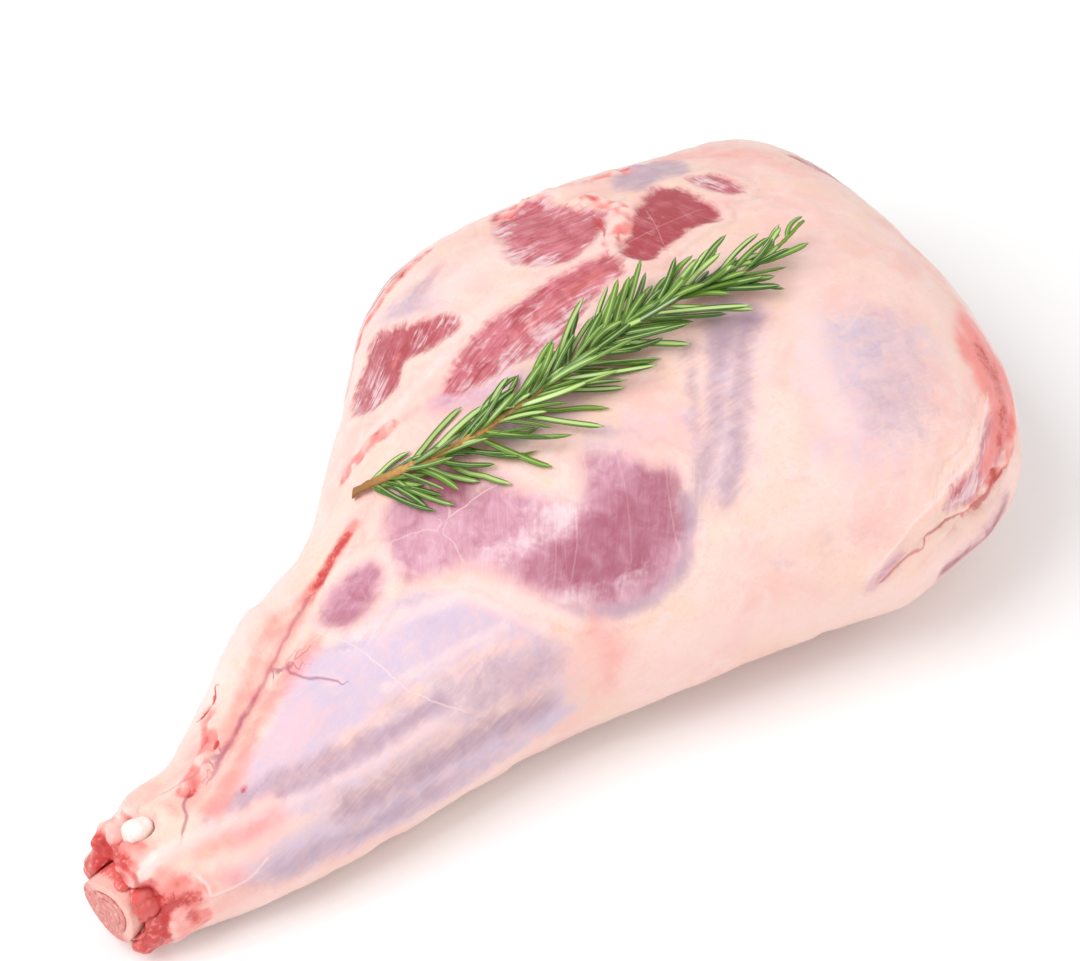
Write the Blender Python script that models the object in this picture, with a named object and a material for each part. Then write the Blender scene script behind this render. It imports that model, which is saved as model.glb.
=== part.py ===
"""Whole raw leg of lamb, shank on, with a sprig of rosemary lying on it.

The leg lies on its flat underside. Its middle line runs from the hock end (-X) to
the butt end (+X), its near side faces -Y, and +Z is up. A place on it is told by
"along", the distance down the middle line, and "around", the angle about that
line: 0 is straight up, +90 the near side, -90 the far side.
"""

import math
import random

import bmesh
import bpy
from mathutils import Vector
from mathutils.bvhtree import BVHTree

MM = 0.001

# How finely a smooth line is sampled
LINE_STEPS = 400

# The leg's middle line seen from above, (x, y) in mm, from the hock joint to the butt
MIDDLE_LINE = [(-203, 18), (-110, 14), (-10, 16), (80, 10), (175, -18)]

# Sections square to the middle line, in mm:
# along, half width to the near side and to the far side, then the heights of the
# crest, of the widest point and of the underside before it is pressed flat
SECTIONS = [
    (22, 18, 18, 35, 17, 0),
    (40, 22, 18, 39, 19, 0),
    (60, 31, 20, 43, 21, -1),
    (100, 43, 33, 54, 24, -3),
    (145, 57, 39, 71, 30, -4),
    (190, 78, 62, 88, 36, -4),
    (235, 98, 90, 98, 41, -4),
    (280, 111, 86, 101, 42, -4),
    (320, 107, 80, 96, 41, -4),
    (348, 97, 82, 86, 38, -3),
    (383, 80, 86, 70, 34, 6),
]
FLESH_START = 26.0
FLESH_END = 383.0
HOCK_ROUNDING = 5.0
BUTT_ROUNDING = 38.0
SECTION_SQUARENESS = 2.3
LEG_RINGS = 50
LEG_SIDES = 44
# 1 spaces the rings evenly, and less crowds them towards the ends
RING_EVENNESS = 0.62
# What is laid on the skin past the flesh's ends takes at least this share of the section
LEAST_CLOSING = 0.5

# Broad swellings and hollows of the flesh, in mm and degrees:
# along, around, half length, half width, height, turn from the leg's own line
SWELLINGS = [
    (180, 20, 40, 46, 3.0, 0),
    (100, 52, 44, 20, 2.4, 8),
    (84, 8, 40, 11, 1.6, 4),
    (330, 30, 36, 52, 1.8, 0),
    (262, -60, 26, 22, 1.2, -20),
    (212, -66, 26, 18, 1.2, 25),
    (160, -60, 15, 14, -2.6, 0),
    (125, -56, 16, 12, -1.6, 0),
    (240, -34, 34, 12, -1.6, -30),
    (352, -40, 22, 26, 1.6, 0),
]

# Broad furrows between the muscles: points (along, around), depth and half width in mm
ROUND_MUSCLE_FURROW = [(142, 4), (152, 32), (168, 54), (190, 66), (210, 58), (216, 44)]
SHANK_FURROW = [(52, 34), (84, 30), (112, 30), (140, 44)]
VEIN_FURROW = [(150, -37), (134, -35), (109, -25), (92, -17), (81, -9), (60, 7)]
FURROWS = [
    (ROUND_MUSCLE_FURROW, 1.6, 8),
    (SHANK_FURROW, 1.4, 8),
    (VEIN_FURROW, 1.6, 7),
]

# Cords of sinew, rolls of fat and crags that stand on the skin:
# points (along, around), half width, half height, and how far their middle stands out, in mm
RIDGES = {
    "tendon_flap": ([(84, -48), (98, -55), (116, -60), (138, -60), (152, -54)], 4.6, 4.0, -0.8),
    "shin_tendon": ([(24, 16), (40, 20), (58, 17), (80, 12)], 3.6, 3.0, -0.6),
    "heel_tendon": ([(28, -30), (46, -44), (66, -50)], 4.0, 3.4, -0.4),
    "near_sinew": ([(32, 62), (48, 66), (66, 62)], 5.0, 3.2, -1.6),
    "butt_lip": ([(355, 62), (338, 72), (318, 76), (292, 79), (262, 84)], 4.4, 4.4, -1.0),
    "butt_roll": ([(356, 84), (338, 90), (312, 92), (284, 95)], 6.0, 5.0, -1.4),
    "far_crag": ([(262, -56), (274, -57), (286, -54), (297, -54)], 4.0, 3.0, 0.0),
    "far_crag_low": ([(270, -50), (281, -49), (290, -47)], 3.2, 2.6, -0.4),
    "crag_end": ([(303, -60), (306, -54), (307, -47)], 3.0, 2.6, 0.2),
}
RIDGE_SIDES = 7
RIDGE_RINGS = 10
# Powers of the taper to the two ends: the smaller the blunter
RIDGE_TAPER = 0.6
CLEFT_TAPER = 0.5
# A cleft's lips lie this much further apart than its walls
CLEFT_FLARE = 1.4
RIDGE_WAVES = 9

# Clefts cut into the flesh: points (along, around), half width and depth in mm
CLEFTS = {
    "butt_cleft": ([(361, 70), (346, 79), (326, 84), (298, 87), (268, 90)], 2.2, 9.0),
    "fell_notch": ([(300, -66), (300, -56), (299, -46)], 1.6, 4.0),
    "flap_gap": ([(80, -40), (92, -46), (106, -50)], 1.4, 4.0),
}

# Torn ends of sinew and muscle round the sawn shank, in mm:
# along, across (far side positive), height, half length, half width, half height, tip up
LOBES = {
    "heel_nub": (38, 11, 27, 11, 7, 8, 16),
    "heel_strip": (30, 10, 20, 7, 7, 9, 0),
    "near_lobe": (34, -11, 15, 12, 8, 8, -4),
    "cut_stub": (26, -10, 9, 6, 5, 5, -8),
    "shin_pad": (34, -4, 31, 10, 9, 5, 12),
}
LOBE_SIDES = 10
LOBE_RINGS = 8
LOBE_UNEVENNESS = 0.14
# Lumps of a lobe: waves round it and along it, and broad waves round it
LOBE_WAVES = (2, 5, 3)

# The shin bone, sawn square, which runs up the shank to the knee
BONE_FACE = 20.0
BONE_END = 186.0
BONE_HEIGHT = 17.0
BONE_END_HEIGHT = 34.0
BONE_ACROSS = -1.0
BONE_HALF_WIDTH = 10.6
BONE_HALF_HEIGHT = 11.8
BONE_WAIST = 0.86
# The shaft's three blunt edges: how proud they stand, and their turn in radians
BONE_KEEL = 0.06
BONE_KEEL_TURN = 0.6
BONE_SIDES = 24
BONE_RINGS = 9
# How far the bone's hollow runs on past the sawn face, to open at the cut
HOLLOW_REACH = 14.0

# The white knob of cartilage beside the bone
KNOB_PLACE = (37, 3, 36)
KNOB_HALF_SIZES = (6.0, 4.6, 5.0)
KNOB_SIDES = 14
KNOB_RINGS = 9

# Touching pieces keep this gap
FITTING_GAP = 0.3

# The rosemary sprig: its stem seen from above in mm, and its height over the flesh
STEM_LINE = [
    (-46, 40), (-38, 27), (-27, 16), (-12, 9), (4, 5), (22, 2),
    (42, -2), (60, -7), (77, -14), (94, -15), (110, -13),
]
# Share of the way up the stem, and the stem's height there over the flesh in mm
STEM_HEIGHTS = [(0.0, 2.6), (0.3, 6.0), (0.8, 6.0), (1.0, 7.5)]
STEM_BASE_RADIUS = 1.5
STEM_TIP_RADIUS = 0.6
STEM_SIDES = 6
STEM_RINGS = 26
# The stem's ends are rounded over this share of it
STEM_ROUNDING = 0.03
# Distance between leaf joints in mm, and how far it varies
NEEDLE_SPACING = 4.8
SPACING_RANGE = (0.85, 1.15)
FIRST_NEEDLE = 6.0
# The needles' turns about the stem in degrees, at every other joint: 0 is straight up
NEEDLE_TURNS = [(-96, -48, 74), (-72, 42, 98)]
TURN_RANGE = 12.0
# Needles in mm and degrees
NEEDLE_LENGTH = 30.0
LENGTH_RANGE = (0.82, 1.10)
# Share of the way up the stem, and the needles' growth there
NEEDLE_GROWTH = [(0.0, 0.72), (0.25, 0.92), (0.55, 1.0), (0.85, 0.82), (1.0, 0.5)]
NEEDLE_HALF_WIDTH = 1.05
NEEDLE_HALF_THICKNESS = 0.55
# A needle's half width, as a share of the widest, at shares of its length
NEEDLE_OUTLINE = [(0.0, 0.5), (0.2, 1.0), (0.75, 1.0), (1.0, 0.4)]
NEEDLE_SPREAD = 31.0
SPREAD_RANGE = 7.0
# Towards the tip, past this share of the stem, the needles close up
TIP_START = 0.8
TIP_SPREAD = 14.0
NEEDLE_DROOP = 2.5
NEEDLE_BEND = 1.5
NEEDLE_SIDES = 4
NEEDLE_RINGS = 5
# Needles keep this clear of the flesh, under them and this far aside
NEEDLE_CLEARANCE = 1.1
CLEARANCE_REACH = 1.5
# The flesh is felt for from this high
ABOVE_ALL = 400.0
SPRIG_SEED = 7

COLOURS = {
    "flesh": ((0.89, 0.68, 0.62, 1.0), 0.42),
    "bone": ((0.86, 0.62, 0.56, 1.0), 0.5),
    "cartilage": ((0.95, 0.88, 0.84, 1.0), 0.3),
    "rosemary": ((0.11, 0.24, 0.05, 1.0), 0.5),
}


def clear_scene():
    for thing in list(bpy.data.objects):
        bpy.data.objects.remove(thing)


def material(name):
    colour, roughness = COLOURS[name]
    made = bpy.data.materials.new(name)
    made.use_nodes = True
    surface = made.node_tree.nodes["Principled BSDF"]
    surface.inputs["Base Color"].default_value = colour
    surface.inputs["Roughness"].default_value = roughness
    return made


def smooth_value(xs, ys, x):
    """The value at x on a smooth curve through the points (xs, ys)."""
    x = min(max(x, xs[0]), xs[-1])
    i = 0
    while i < len(xs) - 2 and x > xs[i + 1]:
        i += 1

    def slope(k):
        low, high = max(k - 1, 0), min(k + 1, len(xs) - 1)
        return (ys[high] - ys[low]) / (xs[high] - xs[low])

    span = xs[i + 1] - xs[i]
    t = (x - xs[i]) / span
    start = (2 * t**3 - 3 * t**2 + 1) * ys[i] + (t**3 - 2 * t**2 + t) * span * slope(i)
    end = (3 * t**2 - 2 * t**3) * ys[i + 1] + (t**3 - t**2) * span * slope(i + 1)
    return start + end


def table_value(table, x):
    """The value at x on a smooth curve through a table of (x, value) rows."""
    return smooth_value([row[0] for row in table], [row[1] for row in table], x)


class SmoothLine:
    """A smooth line in plan through a few points, told by the distance along it."""

    def __init__(self, points):
        reach = [0.0]
        for (ax, ay), (bx, by) in zip(points, points[1:]):
            reach.append(reach[-1] + math.hypot(bx - ax, by - ay))
        xs = [p[0] for p in points]
        ys = [p[1] for p in points]
        self.samples = []
        for k in range(LINE_STEPS + 1):
            t = reach[-1] * k / LINE_STEPS
            self.samples.append(Vector((smooth_value(reach, xs, t), smooth_value(reach, ys, t))))
        self.reach = [0.0]
        for a, b in zip(self.samples, self.samples[1:]):
            self.reach.append(self.reach[-1] + (b - a).length)
        self.length = self.reach[-1]

    def at(self, along):
        """Place and direction at a distance; past an end the line runs straight on."""
        inside = min(max(along, 0.0), self.length)
        k = 0
        while k < len(self.reach) - 2 and self.reach[k + 1] < inside:
            k += 1
        a, b = self.samples[k], self.samples[k + 1]
        share = (inside - self.reach[k]) / (self.reach[k + 1] - self.reach[k])
        direction = (b - a).normalized()
        return a.lerp(b, share) + direction * (along - inside), direction


leg_line = SmoothLine(MIDDLE_LINE)


def section(along):
    columns = list(zip(*SECTIONS))
    return [smooth_value(columns[0], column, along) for column in columns[1:]]


def on_leg(along, across, height):
    """World place, in metres, of a point told by along, across (far side positive) and height."""
    place, direction = leg_line.at(along)
    x = place.x - direction.y * across
    y = place.y + direction.x * across
    return Vector((x, y, height)) * MM


def rounded(power, value):
    return math.copysign(abs(value) ** power, value)


def swept_ball(sides, rings, place):
    """A closed ball of rings and sides with every vertex moved to place(share, angle, closing).

    share runs from 0 to 1 from one pole to the other, angle goes once round, and
    closing is 0 at the poles and 1 elsewhere.
    """
    mesh = bmesh.new()
    bmesh.ops.create_uvsphere(mesh, u_segments=sides, v_segments=rings, radius=1.0)
    for vertex in mesh.verts:
        polar = math.acos(max(-1.0, min(1.0, vertex.co.z)))
        angle = math.atan2(vertex.co.y, vertex.co.x)
        closing = 0.0 if abs(vertex.co.z) > 0.99999 else 1.0
        vertex.co = place(polar / math.pi, angle, closing)
    if mesh.calc_volume(signed=True) < 0:
        bmesh.ops.reverse_faces(mesh, faces=mesh.faces)
    return mesh


def as_object(name, mesh, look=None):
    data = bpy.data.meshes.new(name)
    mesh.to_mesh(data)
    mesh.free()
    made = bpy.data.objects.new(name, data)
    bpy.context.scene.collection.objects.link(made)
    if look:
        data.materials.append(look)
    return made


def distance_to_line(along, around, radius, points):
    """Distance in mm over the skin from a place to a line of (along, around) points."""
    arc = math.radians(1.0) * radius
    here = Vector((along, around * arc))
    best = math.inf
    for (a_along, a_around), (b_along, b_around) in zip(points, points[1:]):
        a = Vector((a_along, a_around * arc))
        b = Vector((b_along, b_around * arc))
        share = (here - a).dot(b - a) / (b - a).length_squared
        nearest = a.lerp(b, min(max(share, 0.0), 1.0))
        best = min(best, (here - nearest).length)
    return best


def relief(along, around, radius):
    """How far the flesh stands above its smooth form, in mm."""
    arc = math.radians(1.0) * radius
    height = 0.0
    for s, a, half_length, half_width, rise, turn in SWELLINGS:
        u, v = along - s, (around - a) * arc
        cos, sin = math.cos(math.radians(turn)), math.sin(math.radians(turn))
        u, v = u * cos + v * sin, v * cos - u * sin
        height += rise * math.exp(-((u / half_length) ** 2) - (v / half_width) ** 2)
    for points, depth, half_width in FURROWS:
        height -= depth * math.exp(-((distance_to_line(along, around, radius, points) / half_width) ** 2))
    return height


def end_closing(along):
    """How full the section is where the two ends round off: 0 at the tips and 1 between them."""
    hock = min(max((FLESH_START + HOCK_ROUNDING - along) / HOCK_ROUNDING, 0.0), 1.0)
    butt = min(max((along - FLESH_END + BUTT_ROUNDING) / BUTT_ROUNDING, 0.0), 1.0)
    return math.sqrt(1 - hock**2) * math.sqrt(1 - butt**2)


def on_skin(along, around, above, aside):
    """World place by the skin: above it along the radius, and aside of it towards the near side."""
    near, far, top, widest, bottom = section(along)
    closing = max(end_closing(along), LEAST_CLOSING)
    turn = math.radians(around)
    half_width = (near + far) / 2 * closing
    rise = (top - widest if math.cos(turn) > 0 else widest - bottom) * closing
    squareness = SECTION_SQUARENESS
    reach = (abs(math.sin(turn)) / half_width) ** squareness + (abs(math.cos(turn)) / rise) ** squareness
    radius = reach ** (-1 / squareness)
    radius += relief(along, around, radius) + above
    sideways = -math.sin(turn) * radius - math.cos(turn) * aside
    upward = math.cos(turn) * radius - math.sin(turn) * aside
    return on_leg(along, (far - near) / 2 + sideways, max(widest + upward, 0.0))


def leg_surface(share, angle, closing):
    """A vertex of the flesh: share 0 is the hock cut and 1 the butt end."""
    spread = (1 - math.cos(math.pi * share)) / 2
    even_share = RING_EVENNESS * share + (1 - RING_EVENNESS) * spread
    along = FLESH_START + (FLESH_END - FLESH_START) * even_share
    near, far, top, widest, bottom = section(along)
    closing *= end_closing(along)
    power = 2 / SECTION_SQUARENESS
    sideways = rounded(power, math.cos(angle)) * (near + far) / 2 * closing
    rise = top - widest if math.sin(angle) > 0 else widest - bottom
    upward = rounded(power, math.sin(angle)) * rise * closing
    radius = math.hypot(sideways, upward)
    if radius > 1.0:
        around = math.degrees(math.atan2(-sideways, upward))
        grown = 1 + relief(along, around, radius) / radius
        sideways *= grown
        upward *= grown
    return on_leg(along, (far - near) / 2 + sideways, max(widest + upward, 0.0))


def lobe(name, sizes):
    along, across, height, half_length, half_width, half_height, tip_up = sizes
    rng = random.Random(name)
    phases = [rng.uniform(0, math.tau) for _ in range(3)]
    tilt = math.radians(tip_up)

    def place(share, angle, closing):
        ring = math.sin(math.pi * share) * closing
        round_waves, length_waves, broad_waves = LOBE_WAVES
        lumps = math.sin(round_waves * angle + phases[0]) * math.sin(length_waves * share + phases[1])
        ring *= 1 + LOBE_UNEVENNESS * (lumps + math.sin(broad_waves * angle + phases[2]))
        forward = -math.cos(math.pi * share) * half_length
        sideways = ring * math.cos(angle) * half_width
        upward = ring * math.sin(angle) * half_height - forward * math.tan(tilt)
        return on_leg(along + forward, across + sideways, max(height + upward, 0.0))

    return as_object(name, swept_ball(LOBE_SIDES, LOBE_RINGS, place))


def skin_path(points, share):
    """The place (along, around) at a share of the way down a line of points."""
    steps = [float(k) for k in range(len(points))]
    at = share * steps[-1]
    return [smooth_value(steps, [point[k] for point in points], at) for k in (0, 1)]


def ridge(name, points, half_width, half_height, stand):
    """A cord or roll that follows the skin and tapers to both ends."""
    rng = random.Random(name)
    phase = rng.uniform(0, math.tau)

    def place(share, angle, closing):
        along, around = skin_path(points, share)
        swell = math.sin(math.pi * share) ** RIDGE_TAPER * closing if 0 < share < 1 else 0.0
        swell *= 1 + LOBE_UNEVENNESS * math.sin(RIDGE_WAVES * share + phase)
        above = stand + math.sin(angle) * half_height * swell
        return on_skin(along, around, above, math.cos(angle) * half_width * swell)

    return as_object(name, swept_ball(RIDGE_SIDES, RIDGE_RINGS, place))


def cleft(name, points, half_width, depth):
    """A blade-shaped cutter that follows the skin, deepest midway."""

    def place(share, angle, closing):
        along, around = skin_path(points, share)
        swell = math.sin(math.pi * share) ** CLEFT_TAPER * closing if 0 < share < 1 else 0.0
        above = math.sin(angle) * depth * swell
        width = half_width * (CLEFT_FLARE if above > 0 else 1.0)
        return on_skin(along, around, above, math.cos(angle) * width * swell)

    return as_object(name, swept_ball(RIDGE_SIDES, RIDGE_RINGS, place))


def bone_shape(grown=0.0, reach_out=0.0):
    """The shin bone, or with grown and reach_out the hollow it sits in, open at the cut."""
    extra = 1 if reach_out else 0
    rings = BONE_RINGS + extra

    def place(share, angle, closing):
        ring = round(share * rings) - extra
        middle = min(max((ring - 1) / (BONE_RINGS - 2), 0.0), 1.0)
        along = BONE_FACE + (BONE_END + grown - BONE_FACE) * middle
        if ring < 1:
            along -= reach_out
        waist = 1 - (1 - BONE_WAIST) * math.sin(math.pi * middle)
        keel = 1 + BONE_KEEL * math.cos(3 * angle - BONE_KEEL_TURN)
        half_width = (BONE_HALF_WIDTH * waist * keel + grown) * closing
        half_height = (BONE_HALF_HEIGHT * waist * keel + grown) * closing
        height = BONE_HEIGHT + (BONE_END_HEIGHT - BONE_HEIGHT) * middle
        across = BONE_ACROSS + math.cos(angle) * half_width
        return on_leg(along, across, height + math.sin(angle) * half_height)

    return swept_ball(BONE_SIDES, rings, place)


def knob_shape(grown):
    along, across, height = KNOB_PLACE

    def place(share, angle, closing):
        ring = math.sin(math.pi * share) * closing
        forward = -math.cos(math.pi * share) * (KNOB_HALF_SIZES[0] + grown)
        sideways = ring * math.cos(angle) * (KNOB_HALF_SIZES[1] + grown)
        upward = ring * math.sin(angle) * (KNOB_HALF_SIZES[2] + grown)
        return on_leg(along + forward, across + sideways, height + upward)

    return swept_ball(KNOB_SIDES, KNOB_RINGS, place)


def apply_boolean(target, operation, operands, solver="EXACT"):
    """Joins the operands to the target, or cuts them from it, and removes them."""
    group = bpy.data.collections.new("operands")
    bpy.context.scene.collection.children.link(group)
    for operand in operands:
        for home in list(operand.users_collection):
            home.objects.unlink(operand)
        group.objects.link(operand)
    modifier = target.modifiers.new("join", "BOOLEAN")
    modifier.operation = operation
    modifier.operand_type = "COLLECTION"
    modifier.collection = group
    modifier.solver = solver
    bpy.context.view_layer.update()
    evaluated = target.evaluated_get(bpy.context.evaluated_depsgraph_get())
    joined = bpy.data.meshes.new_from_object(evaluated)
    target.modifiers.clear()
    target.data = joined
    for operand in operands:
        bpy.data.objects.remove(operand)
    bpy.data.collections.remove(group)


def tidy_mesh(target):
    """Splits every face into triangles, as the solid has them."""
    mesh = bmesh.new()
    mesh.from_mesh(target.data)
    bmesh.ops.triangulate(mesh, faces=mesh.faces)
    mesh.to_mesh(target.data)
    mesh.free()


def keep_largest_body(target):
    """Drops loose scraps and sealed hollows, which are shells apart from the largest."""
    mesh = bmesh.new()
    mesh.from_mesh(target.data)
    unseen = set(mesh.verts)
    shells = []
    while unseen:
        front = [unseen.pop()]
        shell = set(front)
        while front:
            for edge in front.pop().link_edges:
                for vertex in edge.verts:
                    if vertex in unseen:
                        unseen.remove(vertex)
                        shell.add(vertex)
                        front.append(vertex)
        shells.append(shell)
    shells.sort(key=len)
    for scrap in shells[:-1]:
        bmesh.ops.delete(mesh, geom=list(scrap), context="VERTS")
    mesh.to_mesh(target.data)
    mesh.free()


def build_meat():
    meat = as_object("meat", swept_ball(LEG_SIDES, LEG_RINGS, leg_surface))
    grown = [lobe(name, sizes) for name, sizes in LOBES.items()]
    grown += [ridge(name, *sizes) for name, sizes in RIDGES.items()]
    apply_boolean(meat, "UNION", grown)
    hollows = [cleft(name, *sizes) for name, sizes in CLEFTS.items()]
    hollows += [
        as_object("bone_hollow", bone_shape(FITTING_GAP, HOLLOW_REACH)),
        as_object("knob_hollow", knob_shape(FITTING_GAP)),
    ]
    apply_boolean(meat, "DIFFERENCE", hollows)
    tidy_mesh(meat)
    keep_largest_body(meat)
    meat.data.materials.clear()
    meat.data.materials.append(material("flesh"))
    meat.data.shade_smooth()
    return meat


def build_bone():
    bone = as_object("shank_bone", bone_shape(), material("bone"))
    tidy_mesh(bone)
    return bone


def build_knob():
    knob = as_object("hock_cartilage", knob_shape(0.0), material("cartilage"))
    knob.data.shade_smooth()
    return knob


class Sprig:
    """The stem's line over the flesh, and the needles set along it."""

    def __init__(self, flesh):
        mesh = bmesh.new()
        mesh.from_mesh(flesh.data)
        self.flesh = BVHTree.FromBMesh(mesh)
        mesh.free()
        self.line = SmoothLine(STEM_LINE)
        self.length = self.line.length
        self.rng = random.Random(SPRIG_SEED)

    def flesh_height(self, x, y):
        """Height in mm of the flesh under a place seen from above."""
        hit = self.flesh.ray_cast(Vector((x, y, ABOVE_ALL)) * MM, Vector((0, 0, -1)))
        return hit[0].z / MM if hit[0] else 0.0

    def lift(self, point):
        """The point raised, if need be, to keep clear of the flesh under and beside it."""
        lowest = 0.0
        for dx, dy in ((0, 0), (1, 0), (-1, 0), (0, 1), (0, -1)):
            height = self.flesh_height(point.x + dx * CLEARANCE_REACH, point.y + dy * CLEARANCE_REACH)
            lowest = max(lowest, height)
        return Vector((point.x, point.y, max(point.z, lowest + NEEDLE_CLEARANCE)))

    def stem_point(self, distance):
        place, direction = self.line.at(distance)
        height = table_value(STEM_HEIGHTS, distance / self.length)
        return Vector((place.x, place.y, self.flesh_height(place.x, place.y) + height)), direction

    def stem_radius(self, distance):
        return STEM_BASE_RADIUS + (STEM_TIP_RADIUS - STEM_BASE_RADIUS) * distance / self.length

    def stem(self):
        def place(share, angle, closing):
            straight = (share - STEM_ROUNDING) / (1 - 2 * STEM_ROUNDING)
            distance = self.length * min(max(straight, 0.0), 1.0)
            centre, direction = self.stem_point(distance)
            radius = self.stem_radius(distance) * closing
            side = Vector((-direction.y, direction.x, 0.0))
            return (centre + side * math.cos(angle) * radius + Vector((0, 0, math.sin(angle) * radius))) * MM

        mesh = swept_ball(STEM_SIDES, STEM_RINGS, place)
        bmesh.ops.remove_doubles(mesh, verts=mesh.verts, dist=1e-6)
        return as_object("stem", mesh)

    def needle(self, distance, roll, number):
        """One narrow leaf that leaves the stem at a distance, turned by roll about it."""
        share = distance / self.length
        root, direction = self.stem_point(distance)
        length = NEEDLE_LENGTH * table_value(NEEDLE_GROWTH, share) * self.rng.uniform(*LENGTH_RANGE)
        closed_up = max(0.0, share - TIP_START) / (1 - TIP_START)
        spread = NEEDLE_SPREAD + (TIP_SPREAD - NEEDLE_SPREAD) * closed_up
        spread = math.radians(spread + self.rng.uniform(-SPREAD_RANGE, SPREAD_RANGE))
        forward = Vector((direction.x, direction.y, 0.0))
        side = Vector((-direction.y, direction.x, 0.0))
        outward = side * math.sin(roll) + Vector((0, 0, math.cos(roll)))
        heading = forward * math.cos(spread) + outward * math.sin(spread)
        wide = heading.cross(outward).normalized()
        thick = wide.cross(heading).normalized()
        bend = self.rng.uniform(-NEEDLE_BEND, NEEDLE_BEND)

        def place(part, angle, closing):
            reach = length * part
            middle = root + heading * reach
            middle -= Vector((0, 0, NEEDLE_DROOP * part**2))
            middle += wide * bend * math.sin(math.pi * part)
            middle = self.lift(middle)
            width = table_value(NEEDLE_OUTLINE, part) * closing
            offset = wide * math.cos(angle) * NEEDLE_HALF_WIDTH * width
            offset += thick * math.sin(angle) * NEEDLE_HALF_THICKNESS * width
            return (middle + offset) * MM

        return as_object(f"needle_{number}", swept_ball(NEEDLE_SIDES, NEEDLE_RINGS, place))

    def needles(self):
        made = []
        distance = FIRST_NEEDLE
        joint = 0
        while distance < self.length:
            for turn in NEEDLE_TURNS[joint % 2]:
                roll = math.radians(turn + self.rng.uniform(-TURN_RANGE, TURN_RANGE))
                made.append(self.needle(distance, roll, len(made)))
            joint += 1
            distance += NEEDLE_SPACING * self.rng.uniform(*SPACING_RANGE)
        return made


def build_sprig(flesh):
    sprig = Sprig(flesh)
    stem = sprig.stem()
    stem.name = "rosemary_sprig"
    apply_boolean(stem, "UNION", sprig.needles())
    tidy_mesh(stem)
    keep_largest_body(stem)
    stem.data.materials.clear()
    stem.data.materials.append(material("rosemary"))
    return stem


def main():
    clear_scene()
    meat = build_meat()
    build_bone()
    build_knob()
    build_sprig(meat)


if __name__ == "__main__":
    main()
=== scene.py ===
"""Looks of a whole raw leg of lamb, shank on, with a sprig of rosemary lying on it.

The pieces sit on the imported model, in metres. A place on the leg is told by "along",
the distance in mm down its middle line from the hock end, and "around", the angle in
degrees about that line: 0 is straight up, +90 the near side and -90 the far side.
"""

import math
import random

import bmesh
import bpy
import numpy as np
from bpy.props import FloatProperty, FloatVectorProperty, IntProperty, PointerProperty
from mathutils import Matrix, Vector, noise
from mathutils.bvhtree import BVHTree


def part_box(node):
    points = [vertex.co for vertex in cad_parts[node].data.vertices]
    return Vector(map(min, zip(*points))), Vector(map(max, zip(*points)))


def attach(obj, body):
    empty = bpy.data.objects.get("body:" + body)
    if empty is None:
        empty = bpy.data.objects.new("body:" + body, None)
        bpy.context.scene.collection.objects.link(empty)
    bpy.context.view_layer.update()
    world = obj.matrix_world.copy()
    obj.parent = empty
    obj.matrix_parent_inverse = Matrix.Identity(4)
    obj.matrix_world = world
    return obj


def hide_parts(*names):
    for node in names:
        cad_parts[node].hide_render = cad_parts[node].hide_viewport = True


bl_info = {
    "name": "Raw Leg of Lamb",
    "version": (1, 0, 0),
    "blender": (4, 5, 0),
    "location": "View3D > Sidebar > Lamb",
    "description": "Flesh, shank bone, cartilage and rosemary of a raw leg of lamb",
    "category": "Add Mesh",
}

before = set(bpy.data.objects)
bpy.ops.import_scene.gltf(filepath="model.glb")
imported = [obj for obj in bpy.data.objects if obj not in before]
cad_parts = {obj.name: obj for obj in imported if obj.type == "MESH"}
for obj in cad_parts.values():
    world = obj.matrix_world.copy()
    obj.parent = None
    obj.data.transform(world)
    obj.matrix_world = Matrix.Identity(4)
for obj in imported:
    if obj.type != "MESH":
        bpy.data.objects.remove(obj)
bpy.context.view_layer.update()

MM = 0.001

# The leg's middle line seen from above, (x, y) in mm, from the hock joint to the butt
MIDDLE_LINE = [(-203, 18), (-110, 14), (-10, 16), (80, 10), (175, -18)]
# Where the middle of each section is: along, shift to the far side, height, in mm
SECTION_MIDDLES = [
    (22, 0, 17), (40, -2, 19), (60, -5.5, 21), (100, -5, 24), (145, -9, 30), (190, -8, 36),
    (235, -4, 41), (280, -12.5, 42), (320, -13.5, 41), (348, -7.5, 38), (383, 3, 34),
]

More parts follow.
